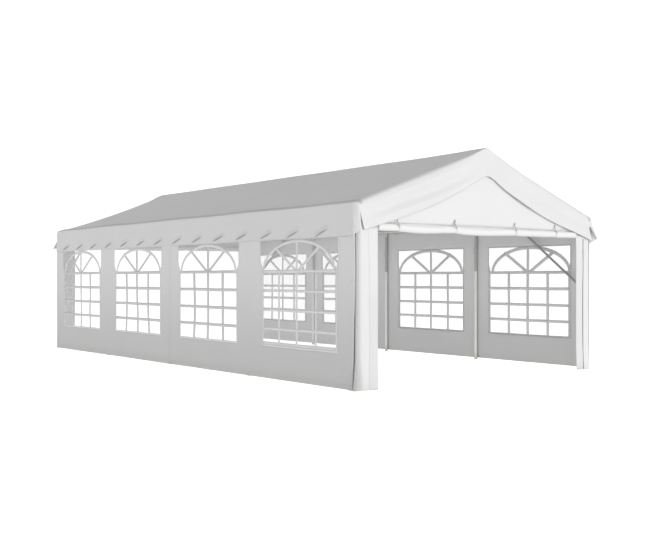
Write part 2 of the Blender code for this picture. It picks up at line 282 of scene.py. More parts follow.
def add_bolt(builder, seat, axis):
    """Washer and chamfered hexagon head on a surface at seat, facing along axis."""
    add_turned(builder, seat, axis, [(0, -0.001), (0.0072, -0.001), (0.0078, 0), (0.0078, 0.0009),
                                     (0.0072, 0.0013), (0, 0.0013)], 24, 1)
    add_turned(builder, seat, axis, [(0, 0.001), (0.006, 0.001), (0.006, 0.0048), (0.0049, 0.0056),
                                     (0, 0.0056)], 6, 1)


def add_weld(builder, place, radius, bead=0.0022):
    """Rippled weld bead round the foot of an upright tube."""
    across = Z_AXIS.orthogonal().normalized()
    outlines = []
    for step, outward in enumerate(ring(Vector(), across, Z_AXIS.cross(across), 40)):
        thick = bead * (1 + 0.16 * (step % 2))
        outlines.append(ring(place + outward * radius, outward * thick, Z_AXIS * thick, 6))
    skin(builder, outlines, endless=True, capped=False)


def tent_piece(name, mesh, finishes, stands_for):
    """Put a mesh in the scene as a piece that rides on the tent and stands for its CAD nodes."""
    for finish in finishes:
        mesh.materials.append(finish)
    piece = bpy.data.objects.new(name, mesh)
    scene.collection.objects.link(piece)
    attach(piece, "root")
    if stands_for:
        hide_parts(*stands_for)
    return piece


def make_piece(name, builder, finishes, stands_for):
    """Turn the builder into a piece, smooth but for edges over 35 degrees."""
    mesh = bpy.data.meshes.new(name)
    builder.to_mesh(mesh)
    builder.free()
    mesh.shade_smooth()
    mesh.set_sharp_from_angle(angle=radians(35))
    tent_piece(name, mesh, finishes, stands_for)


def add_ground_plate(builder, foot):
    """Square plate with rounded corners, a broken upper edge and two peg holes."""
    def outline(inset, z):
        points = []
        for number, signs in enumerate(((1, 1), (-1, 1), (-1, -1), (1, -1))):
            middle = foot + Vector((*((PLATE_HALF - PLATE_CORNER) * sign for sign in signs), z))
            for angle in (pi / 2 * (number + step / 4) for step in range(5)):
                points.append(middle + Vector((cos(angle), sin(angle), 0)) * (PLATE_CORNER - inset))
        return points

    walls = [skin(builder, [outline(0, 0), outline(0, PLATE_THICKNESS - PLATE_BREAK),
                            outline(PLATE_BREAK, PLATE_THICKNESS)], capped=False)]
    for reach in (-PEG_HOLE_REACH, PEG_HOLE_REACH):
        rims = [ring(foot + Vector((reach, reach, z)), X_AXIS * PEG_HOLE_RADIUS, Y_AXIS * PEG_HOLE_RADIUS, 16)
                for z in (0, PLATE_THICKNESS)]
        walls.append(skin(builder, rims, capped=False))
    faces = [face for _, made in walls for face in made]
    for level in (0, -1):
        edges = [builder.edges.get((rings[level][step - 1], rings[level][step]))
                 for rings, _ in walls for step in range(len(rings[level]))]
        filled = bmesh.ops.triangle_fill(builder, edges=edges, use_beauty=True)
        faces += [item for item in filled["geom"] if isinstance(item, bmesh.types.BMFace)]
    bmesh.ops.recalc_face_normals(builder, faces=faces)


for side_name, side in SIDES.items():
    for station_name, station_y in STATIONS.items():
        leg = bmesh.new()
        foot = Vector((side * LEG_X, station_y, 0))
        add_ground_plate(leg, foot)
        add_weld(leg, foot + Z_AXIS * PLATE_THICKNESS, SLEEVE_RADIUS + 0.0005)
        add_straight_tube(leg, foot + Z_AXIS * 0.003, foot + Z_AXIS * SOCKET_TOP, SLEEVE_RADIUS, Y_AXIS)
        add_straight_tube(leg, foot + Z_AXIS * 0.03, foot + Z_AXIS * LEG_TOP, TUBE_RADIUS, Y_AXIS, 0.0006)
        add_bolt(leg, foot + Z_AXIS * 0.036 - X_AXIS * (side * SLEEVE_RADIUS), X_AXIS * -side)
        label = "leg_%s_%s" % (side_name, station_name)
        make_piece(label + "_tube", leg, LEG_FINISHES, [label])

# Eave rails
# A 40 mm tube along each eave in four lengths. At every leg they meet in a white fitting of 45 mm tube, bent
# from the leg up into the rafter, with one bolt through each of its arms.
RIDGE_HEIGHT = 2.725
ROOF_SLOPE = (RIDGE_HEIGHT - 1.997) / 2.012
ROOF_ANGLE = atan(ROOF_SLOPE)
CAD_COVER = 0.0033
RAFTER_RIDGE_HEIGHT = RIDGE_HEIGHT - (CAD_COVER + SLEEVE_RADIUS) / cos(ROOF_ANGLE)
RAFTER_LENGTH = LEG_X / cos(ROOF_ANGLE)
EAVE_RAIL_HEIGHT = 1.945
SLEEVE_BOTTOM = 1.865
SLEEVE_REACH = 0.1
SLEEVE_CHAMFER = 0.0015
RAIL_SLEEVE_REACH = 0.085
ELBOW_REACH = 0.025
CROWN_REACH = 0.015
END_Y = 3.96


def rafter_point(side, station_y, from_ridge):
    """Point on a rafter's axis, at a distance down the slope from the ridge."""
    run = from_ridge * cos(ROOF_ANGLE)
    return Vector((side * run, station_y, RAFTER_RIDGE_HEIGHT - ROOF_SLOPE * run))


def bend(start, corner, end, steps=6):
    """Points on a soft bend from start to end, drawn towards the corner between them."""
    return [start * (1 - t) ** 2 + corner * (2 * t * (1 - t)) + end * t ** 2
            for t in (step / steps for step in range(steps + 1))]


def add_sleeve(builder, path):
    """Fitting arm along a bent path, its two mouths broken by a chamfer."""
    first = path[0] + (path[1] - path[0]).normalized() * SLEEVE_CHAMFER
    last = path[-1] + (path[-2] - path[-1]).normalized() * SLEEVE_CHAMFER
    mouth = SLEEVE_RADIUS - SLEEVE_CHAMFER
    add_swept(builder, [path[0], first, *path[1:-1], last, path[-1]],
              [mouth, *[SLEEVE_RADIUS] * len(path), mouth],
              Y_AXIS if abs(path[0].y - path[-1].y) < 0.01 else X_AXIS)


def add_rail(builder, x, height):
    """A rail from gable to gable with its sleeves, cut short at the gables; gives the sleeves' mouths."""
    ends = [Vector((x, y, height)) for y in (0.002 - END_Y, END_Y - 0.002)]
    add_straight_tube(builder, *ends, TUBE_RADIUS, X_AXIS)
    mouths = {y: (max(y - RAIL_SLEEVE_REACH, -END_Y), min(y + RAIL_SLEEVE_REACH, END_Y))
              for y in STATIONS.values()}
    for pair in mouths.values():
        add_sleeve(builder, [Vector((x, y, height)) for y in pair])
    return mouths


for side_name, side in SIDES.items():
    rail = bmesh.new()
    x = side * LEG_X
    inward = X_AXIS * -side
    for station_y, mouths in add_rail(rail, x, EAVE_RAIL_HEIGHT).items():
        elbow = rafter_point(side, station_y, RAFTER_LENGTH)
        add_sleeve(rail, [Vector((x, station_y, SLEEVE_BOTTOM)),
                          *bend(Vector((x, station_y, elbow.z - ELBOW_REACH)), elbow,
                                rafter_point(side, station_y, RAFTER_LENGTH - ELBOW_REACH)),
                          rafter_point(side, station_y, RAFTER_LENGTH - SLEEVE_REACH)])
        facing = Y_AXIS * -copysign(1, station_y)
        add_bolt(rail, Vector((x, station_y, SLEEVE_BOTTOM + BOLT_IN)) + inward * SLEEVE_RADIUS, inward)
        arm = rafter_point(side, station_y, RAFTER_LENGTH - SLEEVE_REACH + BOLT_IN)
        add_bolt(rail, arm + facing * SLEEVE_RADIUS, facing)
        for mouth_y, along in zip(mouths, (0.02, -0.02)):
            if abs(mouth_y) < END_Y - 0.001:
                add_bolt(rail, Vector((x, mouth_y + along, EAVE_RAIL_HEIGHT)) + inward * SLEEVE_RADIUS, inward)
    make_piece("eave_tube_" + side_name, rail, STEEL_FINISHES, ["eave_rail_" + side_name])

# Ridge rail
# The same 40 mm tube along the ridge, in four lengths. Each of its five fittings is a sleeve bent over the
# ridge, with an arm down both slopes for the rafters and a bolt in each arm.
ridge = bmesh.new()
for station_y in add_rail(ridge, 0, RAFTER_RIDGE_HEIGHT):
    arms = [[rafter_point(side, station_y, reach) for side in SIDES.values()]
            for reach in (SLEEVE_REACH, CROWN_REACH)]
    crown = bend(arms[1][0], Vector((0, station_y, RAFTER_RIDGE_HEIGHT)), arms[1][1], 4)
    add_sleeve(ridge, [arms[0][0], *crown, arms[0][1]])
    facing = Y_AXIS * -copysign(1, station_y)
    for side in SIDES.values():
        add_bolt(ridge, rafter_point(side, station_y, SLEEVE_REACH - BOLT_IN) + facing * SLEEVE_RADIUS, facing)
make_piece("ridge_tube", ridge, STEEL_FINISHES, ["ridge_rail"])

# Rafters
# Ten sloping 40 mm tubes, white powder coated. Each is pushed into a ridge fitting above and an eave fitting
# below, and carries the cover. The two at the back are bent down a little under it.
RAFTER_BOW = 0.05
RAFTER_ENDS = (SLEEVE_REACH + 0.0003, RAFTER_LENGTH - SLEEVE_REACH - 0.0003)


def eased(t):
    """0 to 1, starting and ending softly, for t limited to 0 to 1."""
    t = min(max(t, 0), 1)
    return t * t * (3 - 2 * t)


def roof_bow(x, y):
    """How far the rafters at the back, and the cover on them, have gone down."""
    smooth = eased((y - 3.2) / 0.7) * eased(abs(x) / 0.25) * eased((2 - abs(x)) / 0.2)
    return RAFTER_BOW * smooth * max(sin(pi * min(abs(x) / 2, 1)), 0) ** 0.6


for side_name, side in SIDES.items():
    for station_name, station_y in STATIONS.items():
        rafter = bmesh.new()
        first, last = RAFTER_ENDS
        if station_name == "back":
            path = [rafter_point(side, station_y, first + (last - first) * step / 24) for step in range(25)]
            path = [point - Z_AXIS * roof_bow(point.x, point.y) for point in path]
            add_swept(rafter, path, [TUBE_RADIUS] * len(path), Y_AXIS)
        else:
            add_straight_tube(rafter, *[rafter_point(side, station_y, place) for place in RAFTER_ENDS],
                              TUBE_RADIUS, Y_AXIS, 0.0006)
        label = "rafter_%s_%s" % (side_name, station_name)
        make_piece(label + "_tube", rafter, STEEL_FINISHES, [label])

# Knee braces
# Four 32 mm tubes from the corner legs up to the eave rails; the two at the right get a darker copy of the
# paint as painted shade. Their ends are pressed flat, and one bolt through each holds them against the inner
# side of leg and rail.
BRACE_RADIUS = 0.016
BRACE_OVERRUN = 0.03
BRACE_TAB_HALF = 0.0028
BRACE_TAB_WIDER = 0.0055
BRACE_X = LEG_X - TUBE_RADIUS - 0.0003 - BRACE_RADIUS
BRACE_TAB_X = LEG_X - TUBE_RADIUS - 0.0004
# Places along a brace from either end; it is flat up to 50 mm and round from 120 mm
BRACE_RINGS = (0, 0.004, 0.05, 0.065, 0.08, 0.1, 0.12)
brace_foot = Vector((0, END_Y, 1.045))
brace_head = Vector((0, 2.79, EAVE_RAIL_HEIGHT))
brace_along = (brace_head - brace_foot).normalized()
brace_length = (brace_head - brace_foot).length + 2 * BRACE_OVERRUN
# The right braces' darker paint is painted shade, for the side they show away from the light
BRACE_FINISHES = {"left": STEEL_FINISHES, "right": [
    painted_steel("painted_shade_steel", (0.42, 0.41, 0.39, 1), (0.34, 0.335, 0.32, 1)), PLATED]}

for side_name, side in SIDES.items():
    for end_name, end in ENDS.items():
        brace = bmesh.new()
        path, radii = [], []
        for distance in (*BRACE_RINGS, *(brace_length - place for place in reversed(BRACE_RINGS))):
            from_end = min(distance, brace_length - distance)
            pressed = eased(1 - (from_end - 0.05) / 0.07)
            point = brace_foot + brace_along * (distance - BRACE_OVERRUN)
            x = BRACE_X + (BRACE_TAB_X - BRACE_TAB_HALF - BRACE_X) * pressed
            path.append(Vector((side * x, end * point.y, point.z)))
            rounded = 0.7 if from_end == 0 else 1
            radii.append((BRACE_RADIUS + (BRACE_TAB_HALF - BRACE_RADIUS) * pressed,
                          (BRACE_RADIUS + BRACE_TAB_WIDER * pressed) * rounded))
        add_swept(brace, path, radii, X_AXIS, 24)
        for centre in (brace_foot, brace_head):
            add_bolt(brace, Vector((side * (BRACE_TAB_X - 2 * BRACE_TAB_HALF), end * centre.y, centre.z)),
                     X_AXIS * -side)
        label = "knee_brace_%s_%s" % (side_name, end_name)
        make_piece(label + "_tube", brace, BRACE_FINISHES[side_name], [label])

# Roof cover
# One sewn and welded cover of white coated polyethylene cloth: two slopes and a valance all round, slit at the
# four corners. Elastic loops inside pull the side valances into a slanting tuck every half metre. Painted
# shade darkens the tucks' creases and a band along the eaves.
EAVE_X = 2.012
GABLE_Y = 4.06
CORNER_CUT = 0.06
CORNER_COLUMN_X = 1.9
CORNER_X = EAVE_X - CORNER_CUT
COVER_EDGE_X = EAVE_X - 0.012
ROUND_LENGTH = {-1: 0.06, 1: 0.09}
# How far the cloth over the two gables has sunk below the slopes' line: (x, depth)
EDGE_SUNK = {
    -1: ((-2.012, 0.043), (-1.6, 0.05), (-1.2, 0.05), (-0.8, 0.046), (-0.5, 0.036), (-0.3, 0.023),
         (-0.15, 0.011), (0, 0.004), (0.15, 0.011), (0.3, 0.023), (0.5, 0.042), (0.8, 0.064), (1.2, 0.082),
         (1.6, 0.088), (2.012, 0.094)),
    1: ((-2.012, 0.032), (-1.87, 0.025), (-1.65, 0.04), (-1.2, 0.058), (-0.74, 0.07), (-0.26, 0.046),
        (0, 0.006), (0.26, 0.046), (0.74, 0.07), (1.2, 0.058), (1.65, 0.045), (2.012, 0.04)),
}
RIDGE_LIFT = ((-4.06, 0.013), (-3.8, 0.011), (-3.6, 0.006), (-2.9, 0))
RIDGE_SOFTNESS = 0.008
SIDE_HEM_HEIGHT = 1.645
SIDE_HEM_X = 2.006
GABLE_HEM_DEPTH = 0.325
GABLE_HEM_SAG = 0.075
GABLE_HEM_END_X = 1.9
SLIT_ROWS = 4
# Where the lower tips of the valances have gone at each corner, the gable's first: (x and y outwards, z) from
# where they would hang, and how far from the slit the cloth is drawn along
CORNER_TIPS = {
    (-1, -1): ((-0.02, 0.004, -0.006, 0.33), (-0.026, 0.004, 0.044, 0.09)),
    (1, -1): ((0.09, 0.004, -0.036, 0.33), (0.13, 0.012, 0.066, 0.085)),
    (-1, 1): ((0.16, 0.035, -0.01, 0.33), (0.02, 0.014, 0.004, 0.3)),
    (1, 1): ((0.03, 0.012, -0.01, 0.33), (0.04, 0.01, 0.018, 0.3)),
}
CLOTH_THICKNESS = 0.0013
TUCK_FIRST_Y = -3.325
TUCK_PITCH = 0.545
TUCK_LENGTH = 0.285
TUCK_LOW = 1.664
TUCK_RISE = 0.082
TUCK_DEPTH = 0.018
# Rows of the side valance near a tuck: height above it, how far out the cloth goes as a share of the tuck's
# depth, and how much painted shade the row gets in the crease
TUCK_ROWS = ((0.05, 0, 0), (0.034, 0.22, 0), (0.02, 0.6, 0), (0.009, 0.97, 0), (0.004, 1, 0),
             (0, 0.72, 0.5), (-0.004, 0, 1), (-0.008, -0.28, 0.5), (-0.014, -0.12, 0), (-0.022, 0, 0))
PLAIN_ROWS = 7
HEM_ROWS = 3
HEM_TAPE = 0.028


def coated_cloth(name, light, dark, roughness, shine_through, hem_dust=0, greyed=0):
    """White coated tape cloth: flat woven tapes, pressed folds from the bag, cloudy tone and sheen.

    Its flat place runs in metres, and 10 stands for the height of a hem. It is darker where a point's darkened
    attribute is set, which is painted shade on the tucks, the eaves and the front left strip and flap, and by
    greyed it gets painted shade growing towards the ground.
    """
    finish = Finish(name)
    flat = finish.place("UV")
    across, along = flat.axis("X"), flat.axis("Y")
    tape = pi / 0.0026
    weave = (across * tape).sine() * (along * tape).sine()
    threads = (across * (tape * 2)).sine().size() + (along * (tape * 2)).sine().size()
    folds = ((across * (pi / 0.52)).sine().size().ramp(0.03, 0)
             + (along * (pi / 0.47)).sine().size().ramp(0.03, 0))
    above_hem = along - 10
    seam = (above_hem - (HEM_TAPE - 0.003)).size().ramp(0.0022, 0.0004)
    stitch = seam * (across * (pi / 0.004)).sine().size().ramp(0.25, 0.5)
    doubled = above_hem.ramp(HEM_TAPE + 0.001, HEM_TAPE - 0.001) * above_hem.ramp(-0.002, 0)
    cloud, crumple = finish.noise(flat, 1.7, 4), finish.noise(flat, 11, 3)
    darkened = finish.node("ShaderNodeAttribute", {"attribute_name": "darkened"}, {}, "Fac")
    tone = finish.between(cloud, grey(light), grey(dark, -0.005))
    tone = finish.between(folds * 0.22 + stitch * 0.3, tone, grey(light * 0.93))
    # Darker where the darkened attribute is set: painted shade on the tucks, the eaves, the front left strip
    # and flap; the window bars use it too
    tone = finish.between(darkened.ramp(0, 0.6), tone, grey(light * 0.5))
    height = finish.place().axis("Z")
    # Painted shade, scaled by greyed: darker towards the ground
    tone = finish.between(height.ramp(1.6, -0.1) * greyed, tone, grey(light * 0.5))
    dust = height.ramp(0.16, 0) * finish.noise(flat, 35, 5) * hem_dust
    relief = weave * 0.1 + threads * 0.05 + folds * 0.35 + crumple * 1.1 + cloud * 1.6
    finish.surface(
        base_color=finish.between(dust, tone, (0.5, 0.46, 0.4, 1)),
        roughness=cloud * 0.14 + crumple * 0.08 + (roughness - 0.11) + weave * 0.03,
        normal=finish.bump(relief + doubled * 0.45 - stitch * 0.5, 0.0016, 0.55),
        specular_ior_level=0.35, sheen_weight=0.12, sheen_roughness=0.5)
    through = finish.node("ShaderNodeBsdfTranslucent", {}, {"Color": (0.9, 0.9, 0.88, 1)})
    finish.connect(finish.tree.nodes["Material Output"], {"Surface": finish.node("ShaderNodeMixShader", {}, {
        0: shine_through, 1: Value(finish, finish.shader.outputs[0]), 2: through})})
    return finish.material


COVER_CLOTH = coated_cloth("cover_cloth", 0.84, 0.8, 0.52, 0.13)


def waver(a, b, seed):
    """Smooth random wave from -1 to 1 over two measures; the same each run."""
    return noise.noise(Vector((a, b, seed * 7.31)))


def read_off(table, place):
    """Value at a place between the entries of a table of (place, value)."""
    if place <= table[0][0]:
        return table[0][1]
    for (near, low), (far, high) in zip(table, table[1:]):
        if place <= far:
            return low + (high - low) * (place - near) / (far - near)
    return table[-1][1]


def between_legs(y):
    """0 at each leg and 1 midway to the next."""
    places = list(STATIONS.values())
    for near, far in zip(places, places[1:]):
        if near <= y <= far:
            return sin(pi * (y - near) / (far - near)) ** 2
    return 0


def humped(t, power):
    """0 up to t = 0 and from t = 1, with a hump of height 1 between."""
    return sin(pi * t) ** power if 0 < t < 1 else 0


def drawn_in(x, y):
    """The plan's x, with the eaves drawn in round the four corners."""
    t = min((abs(y) - (GABLE_Y - CORNER_CUT)) / CORNER_CUT, 1)
    if abs(x) <= CORNER_COLUMN_X or t <= 0:
        return x
    cut = CORNER_CUT * (0.5 * t + 0.5 * (1 - sqrt(1 - t * t)))
    return copysign(abs(x) - cut * (abs(x) - CORNER_COLUMN_X) / (EAVE_X - CORNER_COLUMN_X), x)


def cover_point(x, y):
    """Point of the cover's outer face on the slopes, over a place in the square plan.

    The cloth lies on ridge and rafters, sags between them and rounds down over the gables.
    """
    plan_x = drawn_in(x, y)
    end = copysign(1, y)
    height = RIDGE_HEIGHT - ROOF_SLOPE * hypot(plan_x, RIDGE_SOFTNESS)
    height += read_off(RIDGE_LIFT, y) * exp(-(plan_x / 0.22) ** 2) - roof_bow(plan_x, y)
    slack = between_legs(y)
    down_slope = abs(plan_x) / EAVE_X
    belly = humped(down_slope, 0.8)
    height -= slack * (0.012 * belly + 0.0025 + 0.003 * eased((down_slope - 0.6) / 0.4))
    height += slack * belly * (0.005 * waver(x * 1.3, y * 1.1, 3) + 0.0014 * waver(x * 6, y * 2.6, 5))
    length = ROUND_LENGTH[end] + (0.04 * eased((x - 0.3) / 0.4) if end < 0 else 0)
    turned = max(1 - (GABLE_Y - abs(y)) / length, 0)
    height -= read_off(EDGE_SUNK[end], x) * (1 - sqrt(max(1 - turned * turned, 0)))
    return Vector((plan_x, y, height))


def gable_hem(x, end):
    """Lower edge of a gable valance: it follows the slope, sags on the way and has a blunt peak."""
    hem_x = x * GABLE_HEM_END_X / CORNER_X
    sag = GABLE_HEM_SAG * sin(pi * abs(hem_x) / GABLE_HEM_END_X) + 0.006 * waver(hem_x * 3, end, 2)
    distance = abs(hem_x - 0.035 * exp(-(hem_x / 0.2) ** 2)) * (1 - 0.6 * exp(-(hem_x / 0.16) ** 2))
    height = RIDGE_HEIGHT - ROOF_SLOPE * distance - GABLE_HEM_DEPTH - sag - roof_bow(hem_x, end * GABLE_Y)
    return Vector((hem_x, end * (GABLE_Y - 0.004), height))


def tip_shift(tip, side, end, share):
    """How far a valance's corner has gone, for a share from 0, hanging straight, to 1 at its tip."""
    return Vector((side * tip[0], end * tip[1], tip[2])) * share


def gable_valance_rows(fold, x, end, count):
    """Points from just under the fold down to the hem of a gable valance, with its long soft folds."""
    hem = gable_hem(x, end)
    side = copysign(1, x)
    tip = CORNER_TIPS[(side, end)][0]
    near_corner = eased((abs(x) - CORNER_X + tip[3]) / tip[3])
    held = 0.1 if (side, end) == (-1, 1) else 0.4
    looser = 0.013 * eased(-x / 0.4) if end < 0 else 0
    span = humped(abs(x) / CORNER_X, 0.5)
    points = []
    for t in ((row + 1) / count for row in range(count)):
        wave = sin(t * 8.5 + 1.9 * waver(x * 1.1, end, 1) + (0.8 if x > 0 else 0))
        out = humped(t, 0.6) * span * ((0.0065 + looser) * wave + 0.003)
        out += 0.0035 * waver(x * 4.5, t * 2, 4 + end) * t
        out += t * t * span * (0.005 * sin(abs(x) * 5.2 + end) + 0.008 * eased((x - 0.1) / 0.5))
        shifted = tip_shift(tip, side, end, near_corner * max((t - held) / (1 - held), 0) ** 1.3)
        points.append(fold.lerp(hem, t) + Y_AXIS * (end * out) + shifted)
    return points


def tuck_state(y):
    """(share of the way up a tuck's line, how open the tuck is) at a place along the eave."""
    if y > TUCK_FIRST_Y + 13 * TUCK_PITCH + 0.001 or y < TUCK_FIRST_Y - TUCK_PITCH:
        return 0, 0
    ahead = (TUCK_FIRST_Y - y) % TUCK_PITCH
    if ahead <= TUCK_LENGTH:
        return ahead / TUCK_LENGTH, humped(ahead / TUCK_LENGTH, 0.4)
    return max(1 - (ahead - TUCK_LENGTH) / (TUCK_PITCH - TUCK_LENGTH), 0), 0


def side_valance_rows(fold, outward, side, y, shared):
    """(point, painted shade in a crease) from just under the fold down to the hem of a side valance, with its
    tucks.

    shared holds the rows that the column at a corner slit has in common with the gable valance.
    """
    end = copysign(1, y)
    at_corner = eased((abs(y) - 3.86) / 0.14)
    tip = CORNER_TIPS[(side, end)][1]
    near_slit = eased((abs(y) - GABLE_Y + tip[3]) / tip[3]) ** 1.6
    share, opened = tuck_state(y)
    pull = opened * (1 - at_corner)
    hem = fold - outward * (EAVE_X - SIDE_HEM_X) + tip_shift(tip, side, end, near_slit)
    hem.z = SIDE_HEM_HEIGHT + 0.003 * waver(y * 2.3, side, 6) + 0.003 * pull + tip[2] * near_slit
    # The first tucks hang lowest, where the wind has pulled
    lower = 0.016 * max(1 - abs(y - TUCK_FIRST_Y) / 1.4, 0)
    tuck = TUCK_LOW + (TUCK_RISE + lower) * share * (1 - at_corner) - lower
    first, upper, last = fold.z - 0.012, tuck + TUCK_ROWS[0][0], tuck + TUCK_ROWS[-1][0]
    rows = [(first + (upper - first) * row / PLAIN_ROWS, 0, 0) for row in range(PLAIN_ROWS)]
    # The third item is painted shade in the tuck's crease
    rows += [(tuck + above, out * TUCK_DEPTH * pull, crease_shade * pull ** 2 * (1 - 25 * lower))
             for above, out, crease_shade in TUCK_ROWS]
    rows += [(last + (hem.z - last) * (row + 1) / HEM_ROWS, 0, 0) for row in range(HEM_ROWS)]
    points = []
    for row, (height, out, _) in enumerate(rows):
        even = first + (hem.z - first) * row / (len(rows) - 1)
        height += (even - height) * at_corner
        t = (fold.z - height) / (fold.z - hem.z)
        point = fold.lerp(hem, t)
        point.z = height
        billow = 0.0025 * sin(pi * min(t, 1)) * (1 + waver(y * 1.4, t, 9))
        billow += 0.0022 * t * (1 + waver(y * 3.1, t * 1.2, 11 + side))
        points.append(point + outward * (out + billow * (1 - 0.5 * at_corner)))
    if shared:
        below = len(rows) - len(shared)
        points = shared + [shared[-1].lerp(points[-1], (row + 1) / below) for row in range(below)]
    return [(point, row[2]) for point, row in zip(points, rows)]


def graded(first, last, step):
    """Even steps from first up to, but without, last."""
    count = max(round((last - first) / step), 1)
    return [first + (last - first) * index / count for index in range(count)]


def stepped(marks, step):
    """Sorted places that hold every mark, with even steps of about step between them."""
    return [place for near, far in zip(marks, marks[1:]) for place in graded(near, far, step)] + [marks[-1]]


def grid_faces(outer, inner, flip, opening=None):
    """Faces between points laid line by line over two lists of places, but none where there is an opening."""
    faces = []
    for line, beside in enumerate(zip(outer, outer[1:])):
        for step, ahead in enumerate(zip(inner, inner[1:])):
            if not (opening and opening(sum(beside) / 2, sum(ahead) / 2)):
                corner = line * len(inner) + step
                quad = (corner, corner + 1, corner + 1 + len(inner), corner + len(inner))
                faces.append(quad[::-1] if flip else quad)
    return faces


def cloth_piece(name, points, faces, finish, thickness, stands_for=()):
    """A sheet from its outer face, thickened inwards, or with thickness 0 a closed solid, as a piece.

    Each point is (place, place in the flat cloth, how much darker it is made). Points without a face are left
    out.
    """
    numbers = sorted({number for face in faces for number in face})
    used = {number: place for place, number in enumerate(numbers)}
    points = [points[number] for number in numbers]
    mesh = bpy.data.meshes.new(name)
    mesh.from_pydata([point[0] for point in points], [], [[used[number] for number in face] for face in faces])
    layer = mesh.uv_layers.new(name="flat")
    for loop in mesh.loops:
        layer.data[loop.index].uv = points[loop.vertex_index][1]
    mesh.attributes.new("darkened", "FLOAT", "POINT").data.foreach_set("value", [point[2] for point in points])
    if not thickness:
        builder = bmesh.new()
        builder.from_mesh(mesh)
        bmesh.ops.recalc_face_normals(builder, faces=builder.faces)
        builder.to_mesh(mesh)
        builder.free()
    mesh.shade_smooth()
    piece = tent_piece(name, mesh, [finish], stands_for)
    if thickness:
        modifier = piece.modifiers.new("thickness", "SOLIDIFY")
        modifier.thickness, modifier.offset = thickness, -1
    return piece


half_x = [*graded(0, 0.03, 0.01), *graded(0.03, CORNER_COLUMN_X, 0.055),
          *stepped([CORNER_COLUMN_X, COVER_EDGE_X], 0.014)]
half_y = [*graded(0, 3.96, 0.026), 3.97, 3.985,
          *[GABLE_Y - 0.06 * (1 - sin(pi / 16 * step)) for step in range(9)]]
columns, rows = ([-place for place in reversed(half[1:])] + half for half in (half_x, half_y))
points = []
for y in rows:
    for x in columns:
        # Painted shade darkens the lowest hand's width of the slopes, along the eave fold
        shade_share = 0.32 * eased((abs(x) - 1.88) / 0.06) * eased((COVER_EDGE_X + 0.004 - abs(x)) / 0.012)
        points.append((cover_point(x, y), (y, 12.5 - abs(x) / cos(ROOF_ANGLE)), shade_share))
faces = grid_faces(rows, columns, False)


def point_number(place, flat, crease_shade=0):
    points.append((place, flat, crease_shade))
    return len(points) - 1


def hang(strips, flip):
    """Join neighbouring columns of points, each a list of point numbers from the slope down."""
    for before, after in zip(strips, strips[1:]):
        for row in range(len(before) - 1):
            loop = tuple(dict.fromkeys((before[row], before[row + 1], after[row + 1], after[row])))
            faces.append(loop[::-1] if flip else loop)


count = 2 + PLAIN_ROWS + len(TUCK_ROWS) + HEM_ROWS
slit_strips = {}
for end, tops in ((-1, range(len(columns))), (1, range(len(points) - len(columns), len(points)))):
    strips = []
    between = zip([drawn_in(x, GABLE_Y) for x in columns], tops)
    for x, top in [(-CORNER_X, tops[0]), *between, (CORNER_X, tops[-1])]:
        at_slit = abs(x) == CORNER_X
        edge = points[top][0]
        fold = cover_point(copysign(EAVE_X, x), end * GABLE_Y) if at_slit else edge
        lower = gable_valance_rows(fold, x, end, count)
        if at_slit:
            lower[:2] = edge.lerp(fold, 0.6), fold.lerp(lower[2], 0.4)
        down = (edge - lower[-1]).length
        strips.append([top, *[point_number(point, (x, 10 + down * (1 - (row + 1) / count)))
                              for row, point in enumerate(lower)]])
        if at_slit:
            slit_strips[(copysign(1, x), end)] = strips[-1]
    hang(strips, end > 0)

for side, column in ((-1, 0), (1, len(columns) - 1)):
    strips, around = [], 0
    rim = [cover_point(side * EAVE_X, y) for y in rows]
    for number, fold in enumerate(rim):
        before, after = rim[max(number - 1, 0)], rim[min(number + 1, len(rim) - 1)]
        outward = Vector((side * (after.y - before.y), -side * (after.x - before.x), 0)).normalized()
        around += (fold - before).length
        joined = slit_strips[(side, copysign(1, fold.y))] if number in (0, len(rim) - 1) else []
        lower = side_valance_rows(fold, outward, side, rows[number],
                                  [points[place][0] for place in joined[3:3 + SLIT_ROWS]])
        top = number * len(columns) + column
        upper = [(points[top][0] * (1 - t) ** 2 + fold * (2 * t * (1 - t)) + lower[0][0] * t ** 2, 0)
                 for t in (0.33, 0.67)]
        strip = [top, *joined[1:3 + SLIT_ROWS]]
        for point, crease_shade in (upper + lower)[len(strip) - 1:]:
            strip.append(point_number(point, (around, 10 + point.z - lower[-1][0].z), crease_shade))
        strips.append(strip)
    hang(strips, side < 0)

cover = cloth_piece("cover_cloth", points, faces, COVER_CLOTH, CLOTH_THICKNESS, ["roof_cover"])

# Side walls
# Four panels of the same cloth, two to a side, hung from the eave rail and held to the legs. Each has two
# openings for windows, a doubled hem at the ground and its joint to the next panel lapped at the middle leg.
WALL_OUTER_X = 1.9988
WALL_TOP = 1.95
WALL_END_Y = 4.006
WALL_HEMS = {"left": 0.003, "right": 0.0225}
LAP = 0.012
WALL_STEP = 0.042
WINDOW_CENTRES = (-3, -1, 1, 3)
WINDOW_HALF = 0.71
WINDOW_SILLS = {"left": 0.4, "right": 0.406}
WINDOW_TOPS = {"left": 1.646, "right": 1.635}
# An opening widens above its arch's spring line. Offsets of its two edges from its centre, below and above
OPENING_EDGES = {
    ("left", 1): (-0.72, 0.69, -0.76, 0.755), ("left", 2): (-0.712, 0.712, -0.769, 0.776),
    ("left", 3): (-0.7, 0.716, -0.745, 0.782), ("left", 4): (-0.69, 0.72, -0.745, 0.77),
    ("right", 1): (-0.67, 0.737, -0.703, 0.767), ("right", 2): (-0.717, 0.693, -0.724, 0.727),
    ("right", 3): (-0.705, 0.712, -0.745, 0.752), ("right", 4): (-0.722, 0.695, -0.76, 0.745),
}
